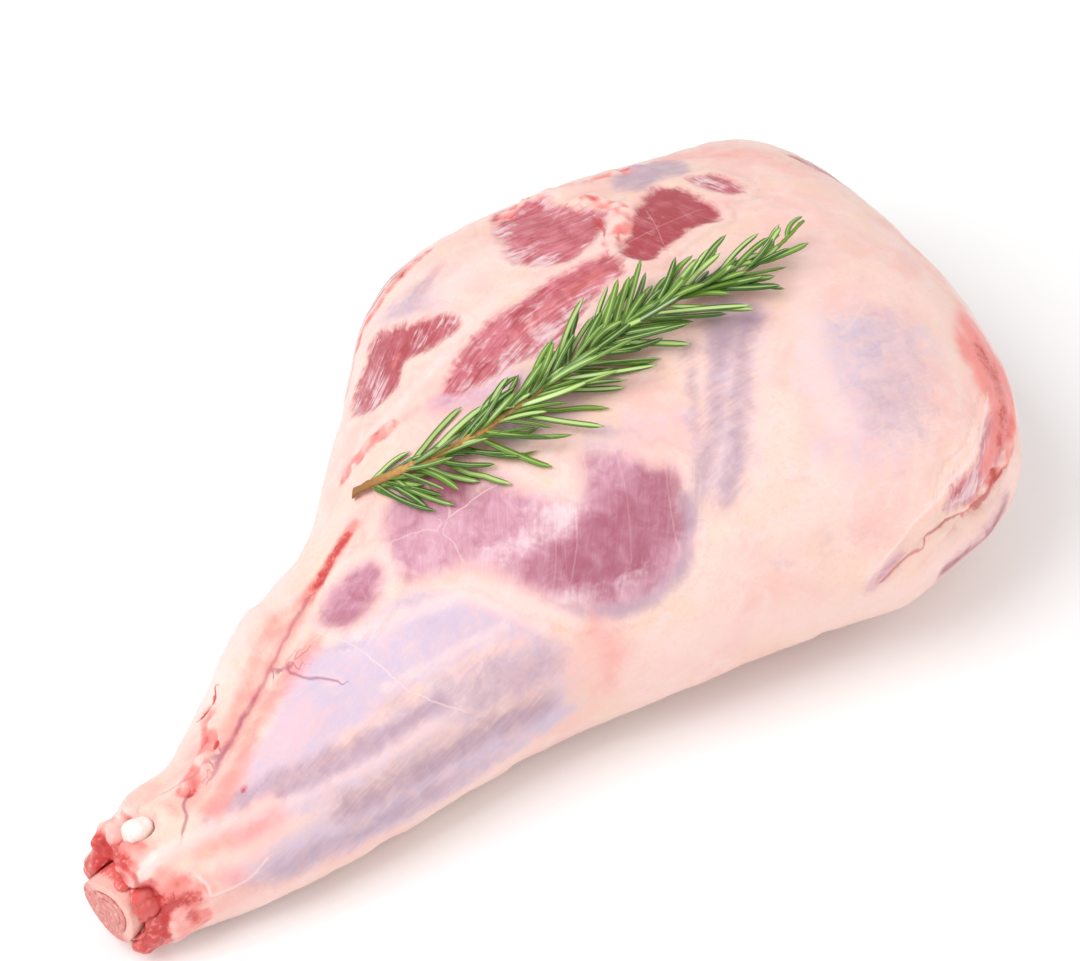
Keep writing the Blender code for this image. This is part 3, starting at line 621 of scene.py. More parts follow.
def rounded_line(points, steps=5):
    """A line of (along, around) points with its bends rounded."""
    points = np.array(points, float)
    knots = np.arange(len(points))
    t = np.linspace(0, len(points) - 1, (len(points) - 1) * steps + 1)
    return np.stack([smooth_values(knots, points[:, k], t) for k in (0, 1)], -1)


class Skin:
    """The places of a mesh's vertices on the leg, and their distances from drawn features."""

    # Past this many mm a thin line leaves no mark, and within the first it is whole
    LINE_REACH = (3.0, 4.6)

    def __init__(self, points):
        self.along, self.around, self.radius = leg_coordinates(points)
        self.arc_per_degree = np.radians(1.0) * self.radius

    def edge_offset(self, a, b):
        """Distance in mm over the skin from the edge a to b, and which side it lies on."""
        bx = b[0] - a[0]
        by = (b[1] - a[1]) * self.arc_per_degree
        hx = self.along - a[0]
        hy = (self.around - a[1]) * self.arc_per_degree
        share = np.clip((hx * bx + hy * by) / np.maximum(bx * bx + by * by, 1e-9), 0, 1)
        return np.hypot(hx - share * bx, hy - share * by), np.sign(hx * by - hy * bx)

    def line_offset(self, points):
        """Distance in mm from a line, negative on one side of it."""
        line = rounded_line(points)
        best = np.full(len(self.along), 1e9)
        side = np.ones(len(self.along))
        for a, b in zip(line, line[1:]):
            distance, edge_side = self.edge_offset(a, b)
            side = np.where(distance < best, edge_side, side)
            best = np.minimum(best, distance)
        return best * side

    def inside_distance(self, points):
        """Distance in mm from an outline, positive inside it."""
        outline = rounded_outline(points)
        best = np.full(len(self.along), 1e9)
        inside = np.zeros(len(self.along), bool)
        for a, b in zip(outline, np.roll(outline, -1, axis=0)):
            best = np.minimum(best, self.edge_offset(a, b)[0])
            crosses = (a[0] > self.along) != (b[0] > self.along)
            if a[0] != b[0]:
                height = a[1] + (self.along - a[0]) * (b[1] - a[1]) / (b[0] - a[0])
                inside ^= crosses & (self.around < height)
        return np.where(inside, best, -best)

    def bands(self, features):
        """The strongest of the soft bands along the lines, 0 to 1."""
        mask = np.zeros(len(self.along))
        for points, strength, half_width in features.values():
            mask = np.maximum(mask, strength * self.band(points, half_width))
        return mask

    def band(self, points, half_width):
        """A soft band along a line: 1 on it, falling off over its half width in mm."""
        return np.exp(-((self.line_offset(points) / half_width) ** 2))

    def patches(self, features):
        """The strongest of the soft-edged patches, 0 to 1."""
        mask = np.zeros(len(self.along))
        for points, strength, reach in features.values():
            mask = np.maximum(mask, strength * smoothstep(-reach, reach, self.inside_distance(points)))
        return mask

    def thin_lines(self, features):
        """For each vertex its nearest thin line: the offset in half widths, and the strength."""
        nearest = np.full(len(self.along), 1e9)
        marks = np.zeros((len(self.along), 3))
        for points, strength, half_width in features.values():
            offset = self.line_offset(points)
            closer = np.abs(offset) < nearest
            whole, gone = self.LINE_REACH
            there = strength * smoothstep(gone, whole, np.abs(offset))
            marks[closer, 0] = (offset / half_width)[closer]
            marks[closer, 1] = there[closer]
            nearest = np.minimum(nearest, np.abs(offset))
        return marks


def noise_values(points, size_mm, octaves=1, shift=0.0):
    """Smooth noise, about -1 to 1, at points in mm, with lumps of size_mm."""
    scaled = points / size_mm + shift
    if octaves == 1:
        return np.array([noise.noise(Vector(p)) for p in scaled]) * 1.6
    return np.array([noise.fractal(Vector(p), 1.0, 2.0, octaves) for p in scaled]) * 1.2


def new_object(name, mesh, materials=()):
    """A finished bmesh as an object at the origin, in the scene."""
    data = bpy.data.meshes.new(name)
    mesh.to_mesh(data)
    mesh.free()
    made = bpy.data.objects.new(name, data)
    bpy.context.scene.collection.objects.link(made)
    for material in materials:
        data.materials.append(material)
    data.shade_smooth()
    return made


def set_attribute(data, name, values, kind="FLOAT"):
    """Stores one value, or one vector, for each vertex."""
    layer = data.attributes.new(name, kind, "POINT")
    field = "value" if kind == "FLOAT" else "vector"
    layer.data.foreach_set(field, np.ascontiguousarray(values, np.float32).ravel())


def get_points(data):
    """The vertices' places in mm."""
    flat = np.zeros(len(data.vertices) * 3, np.float32)
    data.vertices.foreach_get("co", flat)
    return flat.reshape(-1, 3).astype(float) / MM


def set_points(data, points):
    """Moves the vertices to places in mm."""
    data.vertices.foreach_set("co", (points * MM).astype(np.float32).ravel())
    data.update()


def get_normals(data):
    """The vertices' normals."""
    flat = np.zeros(len(data.vertices) * 3, np.float32)
    data.vertex_normals.foreach_get("vector", flat)
    return flat.reshape(-1, 3).astype(float)


def add_ball(mesh, sides, rings, place, marks=None):
    """Adds a ball of rings and sides to the mesh, every vertex moved to place(share, angle, closing).

    share runs from 0 to 1 from one pole to the other, angle goes once round, and closing is 0
    at the poles and 1 elsewhere. marks(vertex, share, angle, closing) may store values on it.
    """
    made = bmesh.ops.create_uvsphere(mesh, u_segments=sides, v_segments=rings, radius=1.0)
    for vertex in made["verts"]:
        share = math.acos(max(-1.0, min(1.0, vertex.co.z))) / math.pi
        angle = math.atan2(vertex.co.y, vertex.co.x)
        closing = 0.0 if abs(vertex.co.z) > 0.99999 else 1.0
        if marks:
            marks(vertex, share, angle, closing)
        vertex.co = place(share, angle, closing)


def swept_ball(sides, rings, place):
    """One such ball, facing outward, as a mesh of its own."""
    mesh = bmesh.new()
    add_ball(mesh, sides, rings, place)
    if mesh.calc_volume(signed=True) < 0:
        bmesh.ops.reverse_faces(mesh, faces=mesh.faces)
    return mesh


def add_node(tree, kind, links=None, values=None, **settings):
    """Adds a node, sets its settings and its inputs' values, and links its inputs."""
    node = tree.nodes.new(kind)
    for name, value in settings.items():
        setattr(node, name, value)
    for name, value in (values or {}).items():
        node.inputs[name].default_value = value
    for name, output in (links or {}).items():
        tree.links.new(output, node.inputs[name])
    return node


def new_material(name):
    """A new material, its node tree, its Principled BSDF and its Object coordinates."""
    made = bpy.data.materials.new(name)
    made.use_nodes = True
    tree = made.node_tree
    place = add_node(tree, "ShaderNodeTexCoord").outputs["Object"]
    return made, tree, tree.nodes["Principled BSDF"], place


def dress(tree, surface, inputs, height=None, strength=0.0, depth=0.0):
    """Links or sets the surface's inputs, and links a bump of the height, its depth in mm."""
    for name, value in inputs.items():
        if isinstance(value, bpy.types.NodeSocket):
            tree.links.new(value, surface.inputs[name])
        else:
            surface.inputs[name].default_value = value
    if height is not None:
        values = {"Strength": strength, "Distance": depth * MM}
        bump = add_node(tree, "ShaderNodeBump", {"Height": height}, values)
        tree.links.new(bump.outputs["Normal"], surface.inputs["Normal"])


def opaque(colour):
    """The colour with a full alpha."""
    return (*colour, 1.0)


def colour_setting(name, description, hex_colour):
    """A colour in a group of settings, told by its sRGB hex value."""
    return FloatVectorProperty(
        name=name, description=description, subtype="COLOR", size=3,
        default=linear(hex_colour), min=0, max=1,
    )


class FleshSettings(bpy.types.PropertyGroup):
    """Sizes and colours of the leg's flesh."""

    grain_of_mesh: FloatProperty(
        name="Mesh Size", description="Size of the remeshed faces before the fine places are split",
        default=0.0020, min=0.001, max=0.01, unit="LENGTH",
    )
    fat: colour_setting("Fat", "Outer fat under the fell", "F5D2C8")
    fat_pink: colour_setting("Pink Fat", "Fat where the flesh shows through it", "F3BFB6")
    fat_peach: colour_setting("Peach Fat", "Thicker, yellower fat", "F3CFBC")
    cream: colour_setting("Cream Fat", "Thick fat and tendon", "F6D6D1")
    silverskin: colour_setting("Silverskin", "Taut membrane over muscle", "DDBECB")
    lavender: colour_setting("Lavender", "Silverskin where it is tautest", "CFBDD2")
    streak: colour_setting("Streak", "Muscle edges under the silverskin", "B394A5")
    grey: colour_setting("Dull Fat", "Thin fat over dark muscle", "BEA1B0")
    mauve: colour_setting("Veiled Lean", "Lean seen through its own skin", "DDABBD")
    mauve_dark: colour_setting("Dark Veiled Lean", "The deepest of the veiled lean", "A95C72")
    lean: colour_setting("Lean", "Pale bare lean", "DB8290")
    lean_dark: colour_setting("Dark Lean", "Deep red bare lean", "AA3C46")
    veil: colour_setting("Membrane", "White membrane over the lean", "F3D9DC")
    blush: colour_setting("Blush", "Fat stained by blood", "F18A83")
    blood: colour_setting("Blood", "Wet red flecks and clots", "C53B38")
    vein: colour_setting("Vein", "Blue-red veins under the fell", "9A4A68")
    crease: colour_setting("Crease", "Blood in the folds", "C23C3C")


class BoneSettings(bpy.types.PropertyGroup):
    """Sizes and colours of the sawn shin bone and the cartilage beside it."""

    ring_width: FloatProperty(
        name="Ring Width", description="Width of the bone's hard outer ring",
        default=0.0030, min=0.001, max=0.006, unit="LENGTH",
    )
    ring: colour_setting("Hard Bone", "The pale outer ring", "EDB5A9")
    spongy: colour_setting("Spongy Bone", "The pink middle of the sawn face", "D08079")
    marrow: colour_setting("Marrow", "Red specks in the spongy bone", "B23F3C")
    cartilage: colour_setting("Cartilage", "Glossy white cartilage", "F8EAE4")
    shred: colour_setting("Shreds", "Torn red sinew round the bone", "DC5A55")
    shred_pale: colour_setting("Pale Shreds", "Torn sinew and fat round the bone", "F4B8B0")


class RosemarySettings(bpy.types.PropertyGroup):
    """Sizes and colours of the rosemary sprig."""

    needle_length: FloatProperty(
        name="Needle Length", description="Length of the longest needles",
        default=0.0300, min=0.005, max=0.05, unit="LENGTH",
    )
    needle_width: FloatProperty(
        name="Needle Width", description="Width of a needle across its blade",
        default=0.0021, min=0.0005, max=0.006, unit="LENGTH",
    )
    joint_spacing: FloatProperty(
        name="Joint Spacing", description="Distance between the stem's leaf joints",
        default=0.0046, min=0.002, max=0.02, unit="LENGTH",
    )
    seed: IntProperty(name="Seed", description="Seed of the needles' unevenness", default=7, min=0)
    leaf: colour_setting("Leaf", "The needles' glossy upper side", "6C932A")
    leaf_dark: colour_setting("Old Leaf", "The darkest needles", "2F5808")
    leaf_pale: colour_setting("Underside", "The pale felt of the underside", "C4DA8C")
    wood: colour_setting("Stem", "The woody stem", "C99352")
    bark: colour_setting("Bark", "The stem's darker ribs", "8A5F30")


class StageSettings(bpy.types.PropertyGroup):
    """The floor and the studio light."""

    floor: colour_setting("Floor", "Plain matt floor", "F8F8F8")
    key_power: FloatProperty(
        name="Key Light", description="Power of the large soft light", default=16.0, min=0, unit="POWER",
    )
    sky_strength: FloatProperty(
        name="Room Light", description="Strength of the even light from all round", default=0.66, min=0,
    )


def flesh_patterns(tree, place):
    """The noises that the flesh's layers share, each about 0.5. A name with 2 or 3 is another
    noise of the same kind."""
    grain = add_node(tree, "ShaderNodeAttribute", attribute_name="grain").outputs["Vector"]
    # What each is laid on, its size along and across the grain in mm, detail and distortion
    kinds = {
        "clouds": (place, (27, 27), 2.0, 0.5),
        "mottle": (place, (7, 7), 3.0, 0.7),
        "specks": (place, (1.6, 1.6), 1.5, 0.0),
        "hairs": (place, (30, 30), 1.0, 0.5),
        "bundles": (grain, (13, 2.0), 2.0, 0.9),
        "fibres": (grain, (8, 0.6), 1.5, 0.4),
    }
    patterns = {}
    for name, (source, (long, wide), detail, distortion) in kinds.items():
        scaled = add_node(
            tree, "ShaderNodeMapping", {"Vector": source},
            {"Scale": (pattern_scale(long), pattern_scale(wide), pattern_scale(wide))},
        ).outputs["Vector"]
        pattern = add_node(
            tree, "ShaderNodeTexNoise", {"Vector": scaled},
            {"Scale": 1.0, "Detail": detail, "Roughness": 0.57, "Distortion": distortion},
        ).outputs
        channels = add_node(tree, "ShaderNodeSeparateColor", {"Color": pattern["Color"]}).outputs
        # The first channel is the factor too, which costs less where it is all that is used
        patterns[name] = pattern["Fac"]
        patterns[name + " 2"], patterns[name + " 3"] = channels[1], channels[2]
    return patterns


def broken_up(tree, mask, patterns, middle=0.5):
    """The mask with patterns added to it, each by its amount, and less the pattern's middle."""
    for pattern, amount in patterns:
        if middle:
            pattern = add_node(
                tree, "ShaderNodeMath", {0: pattern}, {1: middle}, operation="SUBTRACT",
            ).outputs[0]
        mask = add_node(
            tree, "ShaderNodeMath", {0: pattern, 2: mask}, {1: amount}, operation="MULTIPLY_ADD",
        ).outputs[0]
    return mask


def laid_over(tree, below, colour, mask, start, whole, most):
    """A colour, or a socket's colour, laid over another as the mask goes from start to whole,
    up to the share most. Gives the new colour and the layer's share."""
    share = add_node(
        tree, "ShaderNodeMapRange", {"Value": mask},
        {"From Min": start, "From Max": whole, "To Min": 0.0, "To Max": most},
        interpolation_type="SMOOTHSTEP",
    ).outputs["Result"]
    links, values = {0: share}, {}
    for slot, side in ((6, below), (7, colour)):
        if isinstance(side, bpy.types.NodeSocket):
            links[slot] = side
        else:
            values[slot] = opaque(side)
    return add_node(tree, "ShaderNodeMix", links, values, data_type="RGBA").outputs[2], share


def flesh_colours(tree, settings, patterns):
    """The flesh's colour, laid layer on layer by what shows at each place, and the shares of
    its wet layers and its thin lines."""
    marks = {}
    for name, parts in ATTRIBUTES.items():
        vector = add_node(tree, "ShaderNodeAttribute", attribute_name=name).outputs["Vector"]
        marks.update(zip(parts, add_node(tree, "ShaderNodeSeparateXYZ", {"Vector": vector}).outputs))

    def broken(mask, breaks):
        return broken_up(tree, mask, [(patterns[kind], amount) for kind, amount in breaks])

    # Fat: pale, with pinker and yellower clouds, wisps of thicker fat and small pink specks
    colour = settings.fat
    for layer, kind, start, whole, most in (
        (settings.fat_pink, "clouds", 0.40, 0.64, 0.75),
        (settings.fat_peach, "clouds 2", 0.46, 0.64, 0.65),
        (settings.cream, "mottle", 0.48, 0.70, 0.60),
        (settings.fat_pink, "specks 3", 0.50, 0.76, 0.40),
    ):
        colour, _ = laid_over(tree, colour, layer, patterns[kind], start, whole, most)

    # Silverskin is pink with lavender clouds, and thins out in patches
    mask = broken(patterns["clouds 3"], [("bundles 2", 0.45), ("mottle 2", 0.7)])
    silver, _ = laid_over(tree, settings.silverskin, settings.lavender, mask, 0.36, 0.66, 0.95)
    silver, _ = laid_over(tree, silver, settings.fat, patterns["mottle 3"], 0.46, 0.86, 0.42)
    for layer, name, breaks, start, whole, most in (
        (silver, "silverskin", [("mottle", 0.7), ("clouds 2", 0.7), ("bundles", 0.22)], 0.16, 0.92, 0.94),
        # The dull lilac grey also paints the sprig's shadow on the haunch
        (
            settings.grey, "grey", [("mottle 2", 0.9), ("specks", 0.25), ("bundles 3", 0.25)],
            0.12, 1.10, 0.92,
        ),
        (settings.streak, "streak", [("mottle 3", 0.8), ("bundles", 0.45)], 0.12, 1.08, 0.92),
        # The cream also paints a highlight of sheen down the haunch's middle
        (
            settings.cream, "cream", [("mottle", 0.6), ("clouds", 0.4), ("bundles 2", 0.3)],
            0.18, 0.98, 0.75,
        ),
    ):
        colour, _ = laid_over(tree, colour, layer, broken(marks[name], breaks), start, whole, most)

    # Fine white hairlines where the noise crosses its middle, in groups, and fewer on silverskin
    hairs = add_node(
        tree, "ShaderNodeMath", {0: patterns["hairs"]}, {1: 0.5}, operation="SUBTRACT",
    ).outputs[0]
    hairs = add_node(tree, "ShaderNodeMath", {0: hairs}, operation="ABSOLUTE").outputs[0]
    groups = [(patterns["clouds 3"], -0.09), (marks["silverskin"], 0.05)]
    hairs = broken_up(tree, hairs, groups, 0.0)
    colour, _ = laid_over(tree, colour, settings.cream, hairs, -0.040, -0.052, 0.35)

    # Lean by its tone, with membrane over it in streaks that follow the fibres. Each row says
    # how tone, veil and edge break up, with the start, whole and greatest share of the last two
    shares = {}
    for name, pale, dark, tones, veils, veiled, edges, edge in (
        (
            "mauve", settings.mauve, settings.mauve_dark,
            [("fibres", 0.25), ("mottle 2", 1.2), ("bundles 2", 0.3)],
            [("bundles", 0.35), ("clouds 2", 1.1), ("mottle", 0.9), ("specks", 0.3)], (0.40, 1.05, 0.85),
            [("mottle", 0.45), ("bundles", 0.12), ("specks", 0.1)], (0.22, 0.80, 0.98),
        ),
        (
            "lean", settings.lean, settings.lean_dark,
            [("fibres", 0.6), ("mottle 2", 1.3), ("bundles 2", 1.1)],
            [("bundles", 1.3), ("clouds 2", 1.1), ("mottle", 1.3), ("fibres 2", 0.3)], (0.42, 0.98, 0.78),
            [("mottle", 0.75), ("bundles 3", 0.32), ("fibres", 0.08)], (0.32, 0.70, 0.98),
        ),
    ):
        lean, _ = laid_over(tree, pale, dark, broken(marks[name + "_tone"], tones), -0.1, 1.1, 1.0)
        lean, _ = laid_over(tree, lean, settings.veil, broken(marks["veil"], veils), *veiled)
        colour, shares[name] = laid_over(tree, colour, lean, broken(marks[name], edges), *edge)

    # Torn fat and flesh: red in its hollows and pale on its crumbs
    torn, _ = laid_over(tree, settings.blood, settings.blush, marks["height"], -0.9, -0.1, 1.0)
    torn, _ = laid_over(tree, torn, settings.fat, marks["height"], -0.2, 0.7, 0.9)
    mask = broken(marks["torn"], [("mottle 2", 0.5), ("specks", 0.3)])
    colour, _ = laid_over(tree, colour, torn, mask, 0.30, 0.75, 0.9)

    # Stains: soft, and wet where they are deep
    mask = broken(marks["blush"], [("mottle", 0.7), ("clouds", 0.3)])
    colour, _ = laid_over(tree, colour, settings.blush, mask, 0.18, 0.95, 0.88)
    mask = broken(marks["blood"], [("mottle 3", 0.8), ("specks", 0.4)])
    clot, _ = laid_over(tree, settings.blood, settings.blush, patterns["specks 2"], 0.50, 0.72, 0.7)
    colour, shares["blood"] = laid_over(tree, colour, clot, mask, 0.26, 0.80, 0.94)

    # Thin lines, wavering a little about their own course
    for name, line_colour, most, waver, full, gone in (
        ("vein", settings.vein, 0.72, 0.8, 0.0, 1.7),
        ("crease", settings.crease, 0.9, 1.6, 0.2, 1.3),
        ("thread", settings.cream, 0.8, 1.6, 0.1, 1.3),
    ):
        offset = broken(marks[name + "_offset"], [("mottle", waver), ("specks", 0.4)])
        offset = add_node(tree, "ShaderNodeMath", {0: offset}, operation="ABSOLUTE").outputs[0]
        faded = add_node(
            tree, "ShaderNodeMapRange", {"Value": offset},
            {"From Min": full, "From Max": gone, "To Min": 1.0, "To Max": 0.0},
            interpolation_type="SMOOTHSTEP",
        ).outputs["Result"]
        mask = add_node(
            tree, "ShaderNodeMath", {0: faded, 1: marks[name]}, operation="MULTIPLY",
        ).outputs[0]
        colour, shares[name] = laid_over(tree, colour, line_colour, mask, 0.0, 1.0, most)
    return colour, shares


def flesh_material(settings):
    """Chilled raw lamb, as trimmed by hand. Fell and fat are waxy, pale and half matt with a
    broad soft shine. Bare lean is moist and finely striped by its fibres."""
    made, tree, surface, place = new_material("chilled_raw_lamb")
    patterns = flesh_patterns(tree, place)
    colour, shares = flesh_colours(tree, settings, patterns)
    rough = add_node(
        tree, "ShaderNodeMapRange", {"Value": patterns["mottle 2"]},
        {"From Min": 0.3, "From Max": 0.7, "To Min": 0.36, "To Max": 0.54},
    ).outputs["Result"]
    # Bare lean and blood are wetter than fat
    wetter = [(shares["lean"], -0.12), (shares["mauve"], -0.05), (shares["blood"], -0.16)]
    rough = broken_up(tree, rough, wetter, 0.0)
    height = broken_up(tree, patterns["mottle"], [
        (patterns["fibres"], 0.55), (patterns["bundles"], 0.45), (patterns["specks"], 0.5),
        (shares["thread"], 0.9), (shares["vein"], -0.7), (shares["crease"], -1.4),
    ], 0.0)
    dress(tree, surface, {
        "Base Color": colour, "Roughness": rough, "IOR": 1.40,
        "Coat Weight": 0.16, "Coat Roughness": 0.24,
        "Subsurface Weight": 0.20, "Subsurface Scale": 0.005, "Subsurface Radius": (1.0, 0.45, 0.35),
    }, height, 0.45, 0.35)
    return made


def remeshed_flesh(settings):
    """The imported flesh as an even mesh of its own, split finer where the flesh is torn or bare."""
    mesh = bmesh.new()
    mesh.from_mesh(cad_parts["meat"].data)
    bmesh.ops.remove_doubles(mesh, verts=mesh.verts, dist=1e-5)
    draft = new_object("leg_flesh", mesh)
    modifier = draft.modifiers.new("even mesh", "REMESH")
    modifier.mode = "VOXEL"
    modifier.voxel_size = settings.grain_of_mesh
    bpy.context.view_layer.update()
    evaluated = draft.evaluated_get(bpy.context.evaluated_depsgraph_get())
    even = bpy.data.meshes.new_from_object(evaluated)
    draft.modifiers.clear()
    draft.data = even

    skin = Skin(get_points(even))
    fine = skin.along < FINE_TO
    for points, _, half_width, _ in CRAGS.values():
        fine |= skin.band(points, half_width) > 0.3
    for window in LEAN_WINDOWS.values():
        fine |= skin.inside_distance(window["outline"]) > -3
    mesh = bmesh.new()
    mesh.from_mesh(even)
    mesh.verts.ensure_lookup_table()
    edges = [e for e in mesh.edges if fine[e.verts[0].index] and fine[e.verts[1].index]]
    bmesh.ops.subdivide_edges(mesh, edges=edges, cuts=1, use_grid_fill=True)
    bmesh.ops.triangulate(mesh, faces=[f for f in mesh.faces if len(f.verts) > 4])
    mesh.to_mesh(even)
    mesh.free()
    return draft


def smoothed(points, pairs, rounds):
    """The points after rounds of averaging with their neighbours, without the shrinking."""
    count = np.bincount(pairs.ravel(), minlength=len(points))[:, None]

    def average(values):
        for _ in range(rounds):
            total = np.zeros_like(values)
            for k in range(3):
                total[:, k] += np.bincount(pairs[:, 0], values[pairs[:, 1], k], len(values))
                total[:, k] += np.bincount(pairs[:, 1], values[pairs[:, 0], k], len(values))
            values = 0.5 * values + 0.5 * total / count
        return values

    once = average(points)
    return once + (once - average(once))


def lean_windows(skin):
    """For each vertex the lean and the veiled lean there, their tones, the membrane over them,
    how far they are sunk and the turn of their grain."""
    count = len(skin.along)
    names = ("lean", "lean_tone", "mauve", "mauve_tone", "veil", "sunk", "turn")
    marks = {name: np.zeros(count) for name in names}
    for kind, windows, reach in (("mauve", MAUVE_WINDOWS, 7.0), ("lean", LEAN_WINDOWS, 5.0)):
        for window in windows.values():
            mask = np.clip(0.5 + skin.inside_distance(window["outline"]) / (2 * reach), 0, 1)
            share = smoothstep(0.1, 0.7, mask)
            for name, key in ((kind + "_tone", "tone"), ("veil", "veil")):
                marks[name] = marks[name] * (1 - share) + window[key] * share
            marks["turn"] = np.where(mask > 0, window["grain"], marks["turn"])
            marks["sunk"] = np.maximum(marks["sunk"], window["depth"] * smoothstep(0.38, 0.62, mask))
            marks[kind] = np.maximum(marks[kind], mask)
    marks["veil"] += skin.bands(VEILS)
    return marks


def shape_flesh(flesh):
    """Rounds the flesh's facets and gives it the relief of fat, fibre, tears and folds."""
    data = flesh.data
    rough_points = get_points(data)
    pairs = np.zeros(len(data.edges) * 2, np.int32)
    data.edges.foreach_get("vertices", pairs)
    pairs = pairs.reshape(-1, 2)
    skin = Skin(rough_points)

    crisp = np.maximum(smoothstep(*reversed(CRISP_ALONG), skin.along), skin.bands(CRISP))[:, None]
    points = crisp * smoothed(rough_points, pairs, LEAST_ROUNDS)
    points += (1 - crisp) * smoothed(rough_points, pairs, MOST_ROUNDS)

    marks = lean_windows(skin)
    marks["silverskin"] = skin.patches(SILVERSKIN)
    marks["grey"] = skin.patches(GREY_PATCHES)
    marks["streak"] = skin.bands(LILAC_STREAKS)
    marks["cream"] = skin.bands(CREAM_BANDS)
    clear = 1 - 0.8 * skin.band(*CLEAR_TENDON)
    marks["blush"] = skin.bands(BLUSHES) * clear
    marks["blood"] = skin.bands(BLOOD) * clear
    for name, lines in (("vein", VEINS), ("crease", CREASES), ("thread", THREADS)):
        thin = skin.thin_lines(lines)
        marks[name + "_offset"], marks[name] = thin[:, 0], thin[:, 1]

    arc = skin.around * skin.arc_per_degree
    turn = np.radians(marks["turn"])
    grain = np.stack([
        skin.along * np.cos(turn) + arc * np.sin(turn),
        arc * np.cos(turn) - skin.along * np.sin(turn),
        marks["turn"],
    ], -1)

    soft = noise_values(points, SWELLING_SIZE, 2)
    lumps = noise_values(points, LUMP_SIZE, 2, 7.3)
    crumbs = noise_values(points, CRUMB_SIZE, 2, 3.1)
    taut = np.clip(marks["silverskin"] + marks["mauve"], 0, 1)
    fat = np.clip(1 - 0.75 * taut - marks["lean"], 0.1, 1)
    relief = (0.45 * soft + 0.2 * lumps) * fat + 0.4 * marks["cream"] * fat - marks["sunk"]
    for line, height, half_width in RELIEF.values():
        relief += height * skin.band(line, half_width)
    torn = np.zeros(len(points))
    redness = np.zeros(len(points))
    for line, roughness, half_width, red in CRAGS.values():
        share = skin.band(line, half_width)
        relief += roughness * share * (crumbs + 0.25)
        redness = np.where(share > torn, red, redness)
        torn = np.maximum(torn, share)
    marks["torn"] = torn * clear
    marks["height"] = crumbs + 0.5 - 1.6 * redness
    points = points + get_normals(data) * relief[:, None]

    low, high = (np.array(corner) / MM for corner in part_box("meat"))
    set_points(data, np.clip(points, low, high))
    for name, parts in ATTRIBUTES.items():
        blank = np.zeros(len(points))
        values = np.stack([marks.get(part, blank) for part in parts], -1)
        set_attribute(data, name, values, "FLOAT_VECTOR")
    set_attribute(data, "grain", grain * MM, "FLOAT_VECTOR")


class LAMB_OT_flesh(bpy.types.Operator):
    """Make the leg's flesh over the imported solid"""

    bl_idname = "lamb.flesh"
    bl_label = "Leg Flesh"

    def execute(self, context):
        settings = context.scene.lamb_flesh
        flesh = remeshed_flesh(settings)
        shape_flesh(flesh)
        flesh.data.materials.clear()
        flesh.data.materials.append(flesh_material(settings))
        flesh.data.shade_smooth()
        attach(flesh, "root")
        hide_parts("meat")
        return {"FINISHED"}


